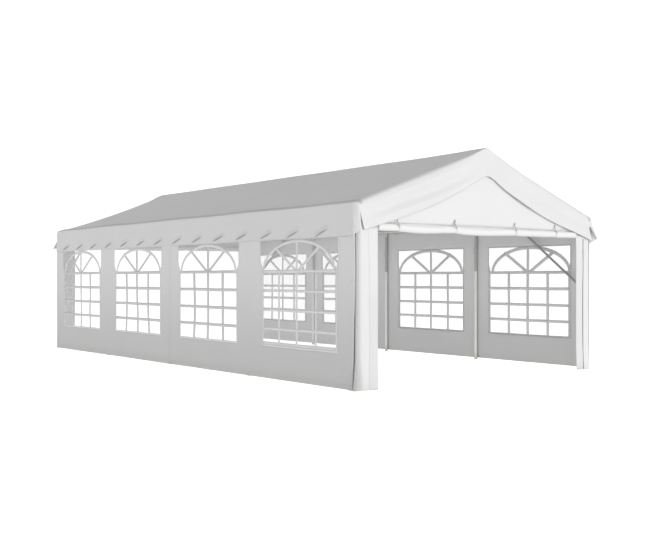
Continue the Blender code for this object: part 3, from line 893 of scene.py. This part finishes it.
# How far the front edge of the left wall is drawn forward: (height, distance)
EDGE_FORWARD = ((0.05, -0.012), (0.5, 0.004), (0.95, 0.019), (1.3, 0.024), (1.7, 0.019))

# Its last argument gives the walls painted shade, darker towards the ground
WALL_CLOTH = coated_cloth("wall_cloth", 0.85, 0.81, 0.55, 0.13, 0.5, 0.5)


def wall_shift(side, y, z):
    """How the cloth in a wall has shifted within its own plane, along Y and Z."""
    dy = 0.004 * waver(y * 1.9, z * 2.4, 21 + side) + 0.002 * waver(y * 5.2, z * 4.6, 25 + side)
    dz = 0.003 * waver(y * 2.2, z * 1.6, 31 + side) + 0.002 * waver(y * 6, z * 3, 35 + side)
    held = between_legs(y) ** 0.5 * eased(z / 0.15) * eased((WALL_TOP - z) / 0.2)
    return dy * held, dz * held


def wall_relief(side, y, z):
    """How far a wall's cloth stands out, in metres; it lies against the legs and is slack between them."""
    slack = between_legs(y)
    depth = 0.009 * waver(y * 0.9, z * 0.5, 41 + side) * eased((WALL_TOP - z) / 0.5)
    depth += 0.0035 * waver(y * 3.4, z * 0.7, 43 + side) + 0.0016 * waver(y * 9, z * 2.2, 47 + side) + 0.001
    return depth * slack + 0.007 * eased((0.5 - z) / 0.5) * waver(y * 1.8, 0.3, 51 + side) * slack ** 0.5


def opening_edges(side_name, number, z):
    """The two edges of a window's opening at a height, as offsets from its centre."""
    edges = OPENING_EDGES[(side_name, number)]
    share = eased((z - 1.27) / 0.13)
    return [low + (high - low) * share for low, high in zip(edges[:2], edges[2:])]


def along_wall(side_name, y, z):
    """Where a place of the square pattern goes along the wall, as its openings are not quite square."""
    number = min(range(4), key=lambda index: abs(WINDOW_CENTRES[index] - y)) + 1
    offset = y - WINDOW_CENTRES[number - 1]
    edge = opening_edges(side_name, number, min(z, WINDOW_TOPS[side_name]))[offset >= 0]
    beyond = abs(offset) - WINDOW_HALF
    moved = abs(offset) * abs(edge) / WINDOW_HALF
    if beyond > 0:
        moved = abs(edge) + (1 - abs(edge)) * min(beyond / (1 - WINDOW_HALF), 1) + max(abs(offset) - 1, 0)
    return y + (copysign(moved, edge) - offset) * eased(z / 0.4) * eased((WALL_TOP - z) / 0.25)


for side_name, side in SIDES.items():
    hem, sill, window_top = WALL_HEMS[side_name], WINDOW_SILLS[side_name], WINDOW_TOPS[side_name]
    up = stepped([hem, hem + 0.003, hem + 0.032, hem + 0.036, sill, window_top, WALL_TOP - 0.045, WALL_TOP],
                 WALL_STEP)
    for end_name, end in ENDS.items():
        across = stepped([*((-LAP, 0.012, 0.06) if end < 0 else (0.004, 0.016)),
                          *(centre + edge for centre in WINDOW_CENTRES[2:]
                            for edge in (-WINDOW_HALF, WINDOW_HALF)),
                          *(WALL_END_Y - inset for inset in (0.03, 0.014, 0.007, 0))], WALL_STEP)
        points = []
        for z in up:
            for distance in across:
                y = along_wall(side_name, end * distance, z)
                dy, dz = wall_shift(side, y, z)
                depth = wall_relief(side, y, z) + (0.0007 if z <= hem + 0.034 else 0)
                if end < 0:
                    depth += 0.0016 * eased((0.06 - distance) / 0.05)
                if side < 0 and end < 0:
                    # The front edge is drawn forward, less towards the foot, and turns in a little
                    y -= eased((distance - 3.86) / 0.12) * (
                        read_off(EDGE_FORWARD, z) + 0.003 * waver(z * 2.2, 0, 57))
                    depth -= 0.009 * max((distance - WALL_END_Y + 0.014) / 0.014, 0) ** 2
                if side < 0 and end > 0:
                    # The back edge stands out past the strip behind it
                    loose = eased((distance - 3.88) / 0.12) * (1 + 0.35 * waver(z * 1.7, 0, 58))
                    y += 0.022 * loose
                    depth += 0.01 * loose
                bottom = 0.0015 * waver(y * 2, 0, 55 + side) * eased((0.1 - z) / 0.1)
                points.append((Vector((side * (WALL_OUTER_X + depth), y + dy, z + dz + bottom)), (y, z), 0))
        faces = grid_faces(up, across, side * end < 0, lambda z, distance: sill < z < window_top and any(
            abs(distance - centre) < WINDOW_HALF for centre in WINDOW_CENTRES))
        label = "wall_%s_%s" % (side_name, end_name)
        wall = cloth_piece(label + "_cloth", points, faces, WALL_CLOTH, CLOTH_THICKNESS, [label])

# Window films
# Clear soft vinyl film, 0.5 mm thick, welded to the inner face of the wall with a lap of 15 mm all round. It
# is a little hazy, and it ripples where the wall's cloth has shifted.
FILM_THICKNESS = 0.0005
FILM_X = 1.9973
FILM_LAP = 0.015


def clear_film():
    """Clear vinyl: thin haze in clouds, soft gloss and shallow ripples."""
    finish = Finish("clear_film")
    flat = finish.place("UV")
    haze, ripple = finish.noise(flat, 2.2, 4), finish.noise(flat, 5)
    return finish.surface(
        base_color=finish.between(haze, (0.985, 0.99, 0.995, 1), (0.975, 0.98, 0.985, 1)),
        roughness=ripple * 0.12 + 0.14, alpha=haze * 0.01 + 0.15, normal=finish.bump(ripple, 0.002, 0.4),
        specular_ior_level=0.5)


CLEAR_FILM = clear_film()


def window_point(side, y, z, depth):
    """Point in a window at a depth from the film's outer face, shifted as the cloth round it is."""
    dy, dz = wall_shift(side, y, z)
    return Vector((side * (FILM_X + wall_relief(side, y, z) + depth), y + dy, z + dz))


for (side_name, number), edges in OPENING_EDGES.items():
    side, centre = SIDES[side_name], WINDOW_CENTRES[number - 1]
    across = stepped([centre + edges[2] - FILM_LAP, centre + edges[3] + FILM_LAP], 0.06)
    up = stepped([WINDOW_SILLS[side_name] - FILM_LAP, WINDOW_TOPS[side_name] + FILM_LAP], 0.06)
    points = [(window_point(side, y, z, 0), (y, z), 0) for z in up for y in across]
    label = "window_%s_%d" % (side_name, number)
    film = cloth_piece(label + "_film", points, grid_faces(up, across, side < 0), CLEAR_FILM, FILM_THICKNESS,
                       [label])
    across[-1] - across[0]
    up[-1] - up[0]

# Window bars
# Strips of the wall's cloth welded on the film as mock glazing bars: four rails, three posts, an arch with two
# slanting rays, and a border 26 mm wide over the weld between film and wall.
RAIL_HALF = 0.0158
POST_HALF = 0.019
RAY_HALF = 0.018
# By window: how much wider its posts, its rails, and its arch and rays are than the narrowest
BARS_WIDER = {"left": ((1, 1, 1), (1.5, 1.2, 1.1), (1.5, 1.25, 1.1), (1.35, 1.2, 1.1)),
              "right": ((1.28, 1.28, 1.28),) * 4}
# How much darker the posts, rays and rails are made
BARS_GREYED = {"left": (0, 0.22, 0.22, 0.2), "right": (0,) * 4}
BORDER_HALF = 0.013
RAIL_HEIGHTS = {"left": (0.595, 0.818, 1.046, 1.274), "right": (0.606, 0.824, 1.049, 1.273)}
ARCH_HALF = 0.69
ARCH_TOP = 1.62
RAY_START = 1.265
RAY_END = (0.45, 1.56)
BAR_STEP = 0.045
# The posts are not quite even: offsets from the window's centre at these heights
POST_HEIGHTS = (0.45, 0.66, 0.9, 1.2)
POSTS = {
    ("left", 1): ((-0.35,) * 4, (0.014,) * 4, (0.36,) * 4),
    ("left", 2): ((-0.391, -0.385, -0.385, -0.382), (-0.009, -0.021, -0.021, -0.019),
                  (0.349, 0.329, 0.329, 0.344)),
    ("left", 3): ((-0.367, -0.336, -0.331, -0.335), (0.003, -0.001, 0.025, 0.033),
                  (0.377, 0.36, 0.355, 0.372)),
    ("left", 4): ((-0.343, -0.325, -0.345, -0.337), (0.015, 0.012, 0.02, 0.024), (0.37,) * 4),
    ("right", 1): ((-0.318,) * 4, (0.031,) * 4, (0.379,) * 4),
    ("right", 2): ((-0.393,) * 4, (-0.021,) * 4, (0.335,) * 4),
    ("right", 3): ((-0.352, -0.347, -0.35, -0.35), (0.012, 0.008, 0.005, 0.005), (0.362,) * 4),
    ("right", 4): ((-0.371,) * 4, (-0.01, -0.004, -0.006, -0.008), (0.341,) * 4),
}

BAR_CLOTH = coated_cloth("bar_cloth", 0.87, 0.84, 0.45, 0.1)


def add_solid_strip(sections, closed=False):
    """Add a thin solid to points and faces, from its cross sections of four points each."""
    start, count = len(points), len(sections)
    points.extend(point for section in sections for point in section)
    for index in range(count if closed else count - 1):
        near, far = start + 4 * index, start + 4 * ((index + 1) % count)
        faces.extend((near + a, near + b, far + b, far + a) for a, b in ((0, 1), (1, 2), (2, 3), (3, 0)))
    if not closed:
        faces.extend(tuple(range(first, first + 4)) for first in (start, len(points) - 4))


def add_bar(line, half, thickness, greyed=0, depth=0.0001, closed=False):
    """Flat strip of cloth on the film of the window in hand, along a line of (y, z) places."""
    line = [Vector(place) for place in line]
    steps = [(after - before).normalized() for before, after in zip(line, line[1:] + line[:1])]
    steps[-1] = steps[-1] if closed else steps[-2]
    sections, length = [], 0
    for index, (place, out_of) in enumerate(zip(line, steps)):
        into = steps[index - 1] if index or closed else out_of
        along = (into + out_of).normalized()
        normal = Vector((-along.y, along.x)) * (half / max(along.dot(into), 0.5))
        length += (place - line[index - 1]).length if index else 0
        sections.append([(window_point(side, *(place + normal * lateral), depth + raised),
                          (length, 5 + lateral * half), greyed)
                         for lateral, raised in ((-1, 0), (1, 0), (1, thickness), (-1, thickness))])
    add_solid_strip(sections, closed)


def straight_line(first, last):
    """Even steps between two (y, z) places."""
    count = max(round(dist(first, last) / BAR_STEP), 1)
    return [(first[0] + (last[0] - first[0]) * index / count, first[1] + (last[1] - first[1]) * index / count)
            for index in range(count + 1)]


def across_opening(z, wider):
    """The places at the two edges of the opening in hand at a height, moved apart a little."""
    left, right = opening_edges(side_name, number, z)
    return (centre + left - wider, z), (centre + right + wider, z)


for (side_name, number), posts in POSTS.items():
    points, faces = [], []
    side, centre = SIDES[side_name], WINDOW_CENTRES[number - 1]
    rails, sill, top = RAIL_HEIGHTS[side_name], WINDOW_SILLS[side_name], WINDOW_TOPS[side_name]
    posts_wider, rails_wider, arch_wider = BARS_WIDER[side_name][number - 1]
    greyed = BARS_GREYED[side_name][number - 1]
    for offsets, post_top in zip(posts, (rails[-1], top + 0.004, rails[-1])):
        post = [(centre + read_off(list(zip(POST_HEIGHTS, offsets)), z), z)
                for z in stepped([sill - 0.004, post_top], BAR_STEP)]
        add_bar(post, POST_HALF * posts_wider, 0.0005, greyed)
    middle = centre + posts[1][-1] * 0.6
    for ray in (-1, 1):
        add_bar(straight_line((middle, RAY_START), (middle + ray * RAY_END[0], RAY_END[1])),
                RAY_HALF * arch_wider, 0.0006, greyed)
    for height in rails:
        add_bar(straight_line(*across_opening(height, 0.004)), RAIL_HALF * rails_wider, 0.0007, greyed)
    if (side_name, number) == ("left", 1):
        # A wider strip of cloth backs the lower edge of the window by the front corner
        add_bar(straight_line(*across_opening(sill + 0.018, 0)), 0.021, 0.0004, 0, 0.00002)
    add_bar([(centre - ARCH_HALF * cos(turn), rails[-1] + (ARCH_TOP - rails[-1]) * sin(turn))
             for turn in (pi * index / 32 for index in range(33))], POST_HALF * arch_wider, 0.0008)
    left, right = zip(*(across_opening(z, 0.006) for z in stepped([sill - 0.006, top + 0.006], BAR_STEP)))
    above, below = straight_line(right[-1], left[-1])[1:-1], straight_line(left[0], right[0])[1:-1]
    border = [*right, *above, *left[::-1], *below]
    add_bar(border, BORDER_HALF, 0.0006, 0, WALL_OUTER_X - FILM_X + 0.0001, True)
    cloth_piece("window_%s_%d_bars" % (side_name, number), points, faces, BAR_CLOTH, 0)

# End walls
# One sheet of cloth closes each end: the gable triangle above, and beside the doorway a strip down each corner
# that wraps round to meet the side wall. The doorway's edges are hemmed, and a flap covers each zip.
END_WALL_Y = 4.037
END_HEMS = {(-1, -1): 0.004, (1, -1): 0.014, (-1, 1): 0.01, (1, 1): 0.012}
WRAP_RADIUS = 0.06
WRAP_X = 1.915
WRAP_ANGLE = 60
# Behind its edge the left strip has a lap that goes in beside the leg: (x, y)
EDGE_LAP = ((1.945, 3.935), (1.948, 3.965), (1.955, 3.99), (1.962, 4.001))
DOOR_X = 1.677
DOOR_TOP = 1.8003
GABLE_ROWS = 20
# How far the foot of a strip has blown outwards and forwards, by side and end
FOOT_BLOWN = {(-1, -1): (0.083, 0.063), (1, -1): (0.006, 0.01), (-1, 1): (0.02, 0.012),
              (1, 1): (0.01, 0.02)}
BLOWN_FROM = 0.42
# How far the outer edge of a strip has gone outwards over its whole height
EDGE_MOVED = {(-1, -1): 0.003, (1, -1): 0.004, (-1, 1): 0.004, (1, 1): 0.01}
STRIP_BULGE = 0.02

END_CLOTH = coated_cloth("end_cloth", 0.85, 0.82, 0.55, 0.13, 0.3)


def end_relief(x, z, end):
    """How far an end wall's cloth stands out from its plane, in metres."""
    if z > DOOR_TOP:
        span = cos(pi / 2 * min(abs(x) / 2, 1)) ** 0.5
        depth = 0.007 * waver(x * 0.8, z * 1.1, 61 + end) * span + 0.0025 * waver(x * 2.6, z * 3, 63 + end)
        turned_in = 0.024 * max(1 - (z - DOOR_TOP) / 0.055, 0) ** 2 * (1 - eased((abs(x) - 1.6) / 0.07))
        return depth * eased((z - DOOR_TOP) / 0.1) - turned_in
    across = (abs(x) - DOOR_X) / (WRAP_X - DOOR_X)
    depth = STRIP_BULGE * humped(across, 1) * eased((DOOR_TOP - 0.1 - z) / 0.5)
    depth += 0.004 * waver(x * 6, z * 0.9, 65 + end) + 0.002 * waver(x * 14, z * 1.6, 67 + end)
    return depth * eased((DOOR_TOP - z) / 0.15)


def blown(x, end, z):
    """Shift of a strip's cloth along X and away from the tent: its loose edge, and its foot in the wind."""
    side = copysign(1, x)
    low = (BLOWN_FROM - z) / BLOWN_FROM
    share = eased(low) * min(max(low, 0), 1)
    outward, forward = FOOT_BLOWN[(side, end)]
    outward *= 1 - 0.42 * eased((1.9 - abs(x)) / 0.22)
    edge = EDGE_MOVED[(side, end)] * eased((abs(x) - 1.8) / 0.167) * eased((1.66 - z) / 0.3)
    return side * (outward * share + edge * (1 + 0.2 * waver(z * 2, side, 73 + end))), forward * share


wrap = [(WRAP_X + WRAP_RADIUS * sin(angle), END_WALL_Y - WRAP_RADIUS * (1 - cos(angle)))
        for angle in (radians(WRAP_ANGLE * (1 - step / 8)) for step in range(9))]
half_plan = (1.8, DOOR_X + 0.03, DOOR_X)
middle_xs = stepped([-WRAP_X, *(-x for x in half_plan), 0, *reversed(half_plan), WRAP_X], 0.03)[1:-1]
# The sheet's line in plan, from the left corner to the right
end_plan = [*((-x, y) for x, y in (*EDGE_LAP, *wrap)), *((x, END_WALL_Y) for x in middle_xs), *reversed(wrap)]

for end_name, end in ENDS.items():
    points, around = [], 0
    for number, (x, y) in enumerate(end_plan):
        around += dist((x, y), end_plan[max(number - 1, 0)])
        hem = END_HEMS[(copysign(1, x), end)]
        top = cover_point(x, end * END_WALL_Y).z - 0.006 - (0.015 if abs(x) >= WRAP_X else 0)
        levels = stepped([hem, hem + 0.003, hem + 0.03, hem + 0.033, DOOR_TOP], 0.045)
        levels += [DOOR_TOP + (top - DOOR_TOP) * row / GABLE_ROWS for row in range(1, GABLE_ROWS + 1)]
        wrapped = (1 - eased((abs(x) - WRAP_X) / WRAP_RADIUS)) * eased((y - 4.007) / 0.02)
        for z in levels:
            hemmed = z <= hem + 0.031 or (abs(x) - DOOR_X < 0.031 and z <= DOOR_TOP)
            depth = end_relief(x, z, end) * wrapped + (0.0006 if hemmed else 0)
            outward, forward = blown(x, end, z)
            if y < EDGE_LAP[-1][1] + 0.001:
                outward *= 0.48 + 0.52 * eased((y - EDGE_LAP[0][1]) / 0.07)
            # Painted shade on the front left strip, along its outer edge and wider at the foot, for the cloth
            # turned away from the light
            foot = eased((0.4 - z) / 0.35)
            shade_share = (0.25 + 0.07 * foot) * eased((abs(x) - 1.885 + 0.03 * foot) / 0.055)
            points.append((Vector((x + outward, end * (y + depth + forward), z)), (around, z),
                           shade_share if x < 0 and end < 0 else 0))
    faces = grid_faces([x for x, _ in end_plan], levels, end < 0,
                       lambda x, z: abs(x) < DOOR_X and z < DOOR_TOP)
    label = "end_wall_" + end_name
    wall = cloth_piece(label + "_cloth", points, faces, END_CLOTH, CLOTH_THICKNESS, [label])

# Zip flaps
# A narrow flap of cloth, hemmed all round, is sewn along each side of the doorway and lies over the zip, whose
# grey coil shows beside its free edge. The flap stands off a little there, most at the bottom.
FLAP_OUTER_X = 1.812
FLAP_TOP = 1.76
FLAP_STAND_OFF = 0.0012
FREE_EDGE = {-1: 0, 1: 0.0045}
ZIP_X = {-1: 1.78, 1: 1.828}
ZIP_RAISED = {-1: 0.0008, 1: 0.0018}
# How far the zip's line and the flap's edge run towards the doorway lower down, by side and end
SEAM_DRIFT = {(-1, -1): 0, (1, -1): 0.033, (-1, 1): 0, (1, 1): 0.01}


def strip_point(side, x, z, depth, end):
    """Point on a corner strip's outer face, at a depth in front of it."""
    outward, forward = blown(side * x, end, z)
    return Vector((side * x + outward, end * (END_WALL_Y + end_relief(side * x, z, end) + depth + forward), z))


def zip_coil():
    """Grey nylon coil between two woven tapes."""
    finish = Finish("zip_coil")
    flat = finish.place("UV")
    teeth = (flat.axis("Y") * (pi / 0.0015)).sine().size()
    coil = flat.axis("X").size().ramp(0.0025, 0.002)
    wear = finish.noise(flat, 40, 3)
    return finish.surface(
        base_color=finish.between(coil * 0.6 + wear * 0.3, grey(0.26, -0.01), grey(0.14, -0.01)),
        roughness=wear * 0.2 + 0.4, normal=finish.bump(coil * teeth + coil, 0.0008, 0.8))


ZIP_COIL = zip_coil()

for end_name, end in ENDS.items():
    for side_name, side in SIDES.items():
        hem = END_HEMS[(side, end)]
        across = stepped([DOOR_X + 0.002, DOOR_X + 0.012, FLAP_OUTER_X - 0.022, FLAP_OUTER_X - 0.019,
                          *([FLAP_OUTER_X - 0.003] if side < 0 else []), FLAP_OUTER_X], 0.022)
        up = stepped([hem + 0.004, hem + 0.03, FLAP_TOP], 0.05)
        points = []
        for z in up:
            drift = -SEAM_DRIFT[(side, end)] * eased((1.72 - z) / 0.7)
            lifted = FREE_EDGE[side] * (1 + 0.6 * waver(z * 2.1, side, 71 + end) + 2 * eased((0.3 - z) / 0.3))
            # Painted shade: the front left flap is a little darker lower down
            greyed = 0.14 * eased((1.35 - z) / 0.5) if side < 0 and end < 0 else 0
            for x in across:
                free = (x - DOOR_X) / (FLAP_OUTER_X - DOOR_X)
                depth = FLAP_STAND_OFF * (2 if side > 0 else 1 + 1.3 * (1 - free ** 4)) + free ** 3 * lifted
                moved = free * (drift - 0.01 * eased((0.25 - z) / 0.25))
                points.append((strip_point(side, x + moved, z, depth, end), (x, z), greyed))
        flap = cloth_piece("zip_flap_%s_%s" % (side_name, end_name), points,
                           grid_faces(up, across, side * end > 0), END_CLOTH, 0.0009)
        # Coil and tapes of the zip as one low ridge: (across it, height)
        half = ((0.007, 0.0002), (0.0025, 0.0005), (0.0015, ZIP_RAISED[side]))
        profile = [*((-x, raised) for x, raised in half), *reversed(half)]
        up = stepped([hem + 0.006, 1.7], 0.05)
        points = [(strip_point(side, ZIP_X[side] + x - SEAM_DRIFT[(side, end)] * eased((1.72 - z) / 0.7), z,
                               raised + 0.0006, end), (x, z), 0) for z in up for x, raised in profile]
        cloth_piece("zip_%s_%s" % (side_name, end_name), points, grid_faces(up, profile, side * end > 0),
                    ZIP_COIL, 0.0006)

# Rolled-up doors
# Each doorway is closed by a sheet of the same cloth with a zip down both sides. Here it is rolled up to the
# gable in about ten turns and held by four webbing straps, between which the roll sags a little.
ROLL_Z = 1.751
ROLL_HALF_HEIGHT = 0.0443
ROLL_HALF_DEPTH = 0.035
ROLL_CORE = 0.22
ROLL_TURNS = 10
ROLL_Y = 4.018
ROLL_END_X = 1.672
ROLL_SAGS = (0.001, 0.014, 0.016, 0.003, 0.002)
STRAP_PLACES = (-1.39, -0.505, 0.516, 1.268)
# The cloth leaves the gable's lower edge and turns over the front of the roll: (in front of the gable, z)
LEAD_IN = ((0.0012, 1.806), (-0.002, 1.8), (-0.005, 1.7945))
LEAD_TURN = 0.085

ROLL_CLOTH = coated_cloth("roll_cloth", 0.92, 0.89, 0.55, 0.13)


def roll_sag(x):
    """Shift of the roll's middle: it hangs a little lower between the straps, most in the widest gap."""
    marks = [-DOOR_X, *STRAP_PLACES, DOOR_X]
    for near, far, sag in zip(marks, marks[1:], ROLL_SAGS):
        if near <= x <= far:
            return -sag * sin(pi * ((x - near) / (far - near)) ** 0.75) ** 1.4
    return 0


# Places along the spiral in turns, finer on its outer turn
section = [turn + step / steps for turn in range(ROLL_TURNS) for steps in ((12 if turn else 28),)
           for step in range(steps) if turn + step / steps > LEAD_TURN] + [float(ROLL_TURNS)]
along = stepped([-ROLL_END_X, *STRAP_PLACES, ROLL_END_X], 0.02)

for end_name, end in ENDS.items():
    points = []
    for x in along:
        sag, around = roll_sag(x), 0
        squeeze = exp(-(min(abs(x - place) for place in STRAP_PLACES) / 0.03) ** 2)
        for forward, height in LEAD_IN:
            y = END_WALL_Y + end_relief(x, max(height, DOOR_TOP + 0.001), end) + forward
            points.append((Vector((x, end * y, height)), (x, height - LEAD_IN[-1][1]), 0))
        for turns in section:
            inward = turns / ROLL_TURNS
            shrink = 1 - (1 - ROLL_CORE) * inward
            angle = pi / 2 - 2 * pi * turns
            lump = 1 + (1 - inward) * (0.05 * waver(x * 2.3, angle % 6.283, 81 + end) - 0.09 * squeeze
                                       + 0.035 * waver(x * 7, angle % 6.283, 85 + end))
            shifted = 0.012 * inward * waver(turns, end, 83) * (1 if abs(x) > 1.5 else 0)
            depth = ROLL_HALF_DEPTH * shrink * lump * cos(angle)
            height = ROLL_HALF_HEIGHT * shrink * lump * sin(angle)
            place = Vector((x + shifted, end * (ROLL_Y + depth), ROLL_Z + height + sag))
            points.append((place, (x, around), 0))
            around += 0.19 * shrink / 28
    label = "door_roll_" + end_name
    faces = grid_faces(along, [*LEAD_IN, *section], end < 0)
    roll = cloth_piece(label + "_cloth", points, faces, ROLL_CLOTH, 0.0005, [label])

# Roll straps
# Straps of white webbing, 16 mm wide, sewn to the gable. Each bows out from it, goes tightly over the front of
# the roll, under it and up behind; its knot through a small loop at the top is not drawn.
STRAP_HALF = 0.008
STRAP_THICKNESS = 0.0016
STRAP_CORNERS = ((-STRAP_HALF, 0), (STRAP_HALF, 0), (STRAP_HALF, 1), (-STRAP_HALF, 1))
STRAP_SQUEEZE = 0.93
# Along the free part of a strap: (sideways, in front of the gable, z)
STRAP_BOW = ((0, 0.002, 1.864), (-0.008, 0.006, 1.856), (-0.018, 0.012, 1.84), (-0.023, 0.017, 1.822),
             (-0.02, 0.021, 1.803), (-0.01, 0.023, 1.784), (0.006, 0.023, 1.765), (0.02, 0.021, 1.748))


def webbing():
    """Close ribbed tape, white, with painted shade on the part that bows out from the gable."""
    finish = Finish("webbing")
    flat = finish.place("UV")
    ribs = (flat.axis("X") * (pi / 0.0011)).sine()
    fuzz = finish.noise(flat, 500, 3)
    whiter = flat.axis("X").ramp(0.108, 0.132) * 0.85 + fuzz * 0.15
    return finish.surface(
        base_color=finish.between(whiter, grey(0.36), grey(0.9)),
        roughness=fuzz * 0.2 + 0.65, normal=finish.bump(ribs * 0.6 + fuzz, 0.0003, 0.7), sheen_weight=0.3)


WEBBING = webbing()

for end_name, end in ENDS.items():
    points, faces = [], []
    for place in STRAP_PLACES:
        centre = Vector((place, end * ROLL_Y, ROLL_Z))
        line = [Vector((place + sideways, end * (END_WALL_Y + forward), height))
                for sideways, forward, height in STRAP_BOW]
        for angle in (radians(-24 - 15.5 * step) for step in range(11)):
            line.append(centre + Vector((
                0.026, end * (ROLL_HALF_DEPTH * STRAP_SQUEEZE + 0.0012) * cos(angle),
                (ROLL_HALF_HEIGHT * STRAP_SQUEEZE + 0.0012) * sin(angle))))
        sections, length = [], 0
        for before, point in zip(line[:1] + line, line):
            length += (point - before).length
            lift = Vector((0, point.y - centre.y, point.z - centre.z)).normalized() * STRAP_THICKNESS
            sections.append([(point + X_AXIS * across + lift * raised, (length, across), 0)
                             for across, raised in STRAP_CORNERS])
        add_solid_strip(sections)
    cloth_piece("roll_straps_" + end_name, points, faces, WEBBING, 0)

# Corner ties
# At each corner four short loops of elastic cord hold the strip's edge to the side wall's edge, across the gap
# in front of the leg. Each goes through a plated eyelet at both ends.
TIE_HEIGHTS = (0.19, 0.68, 1.17, 1.62)
TIE_RADIUS = 0.0025
STRIP_EYE_ANGLE = radians(35)
EYELET_PROFILE = ((0.0035, 0), (0.0075, 0), (0.0082, 0.0006), (0.0068, 0.0014), (0.0045, 0.0014),
                  (0.0035, 0.0006))


def elastic_cord():
    """White braided elastic."""
    finish = Finish("elastic_cord")
    braid = finish.node("ShaderNodeTexVoronoi", {}, {"Vector": finish.place(), "Scale": 700})
    return finish.surface(base_color=finish.between(braid, grey(0.8, 0.01), grey(0.62, 0.01)), roughness=0.7,
                          normal=finish.bump(braid, 0.0004, 0.6), sheen_weight=0.3)


ELASTIC = elastic_cord()


def add_cord(builder, line, radius, sides=8):
    """Round cord along any smooth line of points, closed at both ends."""
    outlines = []
    for before, point, after in zip(line[:1] + line, line, line[1:] + line[-1:]):
        along = (after - before).normalized()
        across = along.cross(Z_AXIS)
        if across.length < 0.2:
            across = along.cross(X_AXIS)
        across.normalize()
        outlines.append(ring(point, across * radius, across.cross(along) * radius, sides))
    skin(builder, outlines)


def add_eyelet(builder, place, axis):
    """Rolled ring of an eyelet, standing on the cloth."""
    across = axis.orthogonal().normalized()
    outlines = [[place + spoke * radius + axis * height for radius, height in EYELET_PROFILE]
                for spoke in ring(Vector(), across, axis.cross(across), 20)]
    skin(builder, outlines, endless=True, capped=False, slot=1)


for side_name, side in SIDES.items():
    for end_name, end in ENDS.items():
        ties = bmesh.new()
        strip_axis = Vector((side * sin(STRIP_EYE_ANGLE), end * cos(STRIP_EYE_ANGLE), 0))
        strip_eye = Vector((side * WRAP_X, end * (END_WALL_Y - WRAP_RADIUS), 0))
        strip_eye += strip_axis * (WRAP_RADIUS + 0.0003)
        for height in TIE_HEIGHTS:
            outward, forward = blown(side * (WRAP_X + 0.03), end, height)
            near = Vector((side * (WALL_OUTER_X + 0.0005), end * (WALL_END_Y - 0.016), height))
            far = strip_eye + Vector((outward, end * forward, height))
            add_eyelet(ties, near, X_AXIS * side)
            add_eyelet(ties, far, strip_axis)
            line = [near - X_AXIS * (side * 0.004), near + X_AXIS * (side * 0.002)]
            for t in (step / 8 for step in range(9)):
                bow = Vector((side, end, 0)).normalized() * (0.007 * sin(pi * t) + 0.003)
                line.append(near.lerp(far, t) + bow + Z_AXIS * (0.003 * sin(2 * pi * t)))
            add_cord(ties, [*line, far + strip_axis * 0.002, far - strip_axis * 0.004], TIE_RADIUS)
        make_piece("corner_ties_%s_%s" % (side_name, end_name), ties, [ELASTIC, PLATED], [])

# Frame ties
# Loops of the same elastic cord hold the walls to the frame: round each leg at five heights, the top one with
# its spare cord wound into a hank, and round the eave rails every half metre, where their ends hang loose.
LEG_TIE_HEIGHTS = (0.35, 0.7, 1.01, 1.32, 1.6)
# Profiles of a knot and a hank: (radius, height)
KNOT = ((0, 0), (0.004, 0.001), (0.0065, 0.004), (0.0065, 0.009), (0.004, 0.013), (0, 0.014))
HANK = ((0, 0), (0.004, 0.004), (0.009, 0.025), (0.013, 0.05), (0.011, 0.07), (0.005, 0.088), (0, 0.092))
RAIL_TIE_PITCH = 0.5
FRAME_TIE_RADIUS = 0.0022


def add_loop(builder, centre, upward, drift):
    """Cord once round a tube whose section lies along X and upward; its end has moved along the tube."""
    reach = TUBE_RADIUS + FRAME_TIE_RADIUS + 0.0004
    add_cord(builder, [centre + X_AXIS * (side * reach * cos(turn)) + upward * (reach * sin(turn))
                       + drift * (0.006 * sin(turn * 0.5))
                       for turn in (2 * pi * step / 24 for step in range(25))], FRAME_TIE_RADIUS, 6)


for side_name, side in SIDES.items():
    ties = bmesh.new()
    for station_y in STATIONS.values():
        inward = -copysign(1, station_y) if abs(station_y) > 3 else 1
        for height in LEG_TIE_HEIGHTS:
            add_loop(ties, Vector((side * LEG_X, station_y, height)), Y_AXIS, Z_AXIS)
            knot = Vector((side * (LEG_X - 0.01), station_y + inward * (TUBE_RADIUS + 0.006), height))
            add_turned(ties, knot - Z_AXIS * 0.007, Z_AXIS, KNOT, 12)
            if height == LEG_TIE_HEIGHTS[-1]:
                add_turned(ties, knot + Vector((0, inward * 0.004, -0.06)), Z_AXIS, HANK, 12)
            tail = Vector((-side * 0.004, inward * 0.01, -0.03))
            add_cord(ties, [knot + tail * (step / 4) for step in range(5)], FRAME_TIE_RADIUS, 6)
    for place in stepped([-3.75, 3.75], RAIL_TIE_PITCH):
        if min(abs(place - station_y) for station_y in STATIONS.values()) < 0.12:
            continue
        add_loop(ties, Vector((side * LEG_X, place, EAVE_RAIL_HEIGHT)), Z_AXIS, Y_AXIS)
        start = Vector((side * (LEG_X - 0.008), place, EAVE_RAIL_HEIGHT - TUBE_RADIUS - 0.004))
        add_cord(ties, [start + Vector((-side * 0.005, 0, -0.019)) * (1 - cos(turn))
                        + Y_AXIS * (0.013 * sin(turn))
                        for turn in (2 * pi * step / 16 for step in range(17))], FRAME_TIE_RADIUS, 6)
    make_piece("frame_ties_" + side_name, ties, [ELASTIC], [])
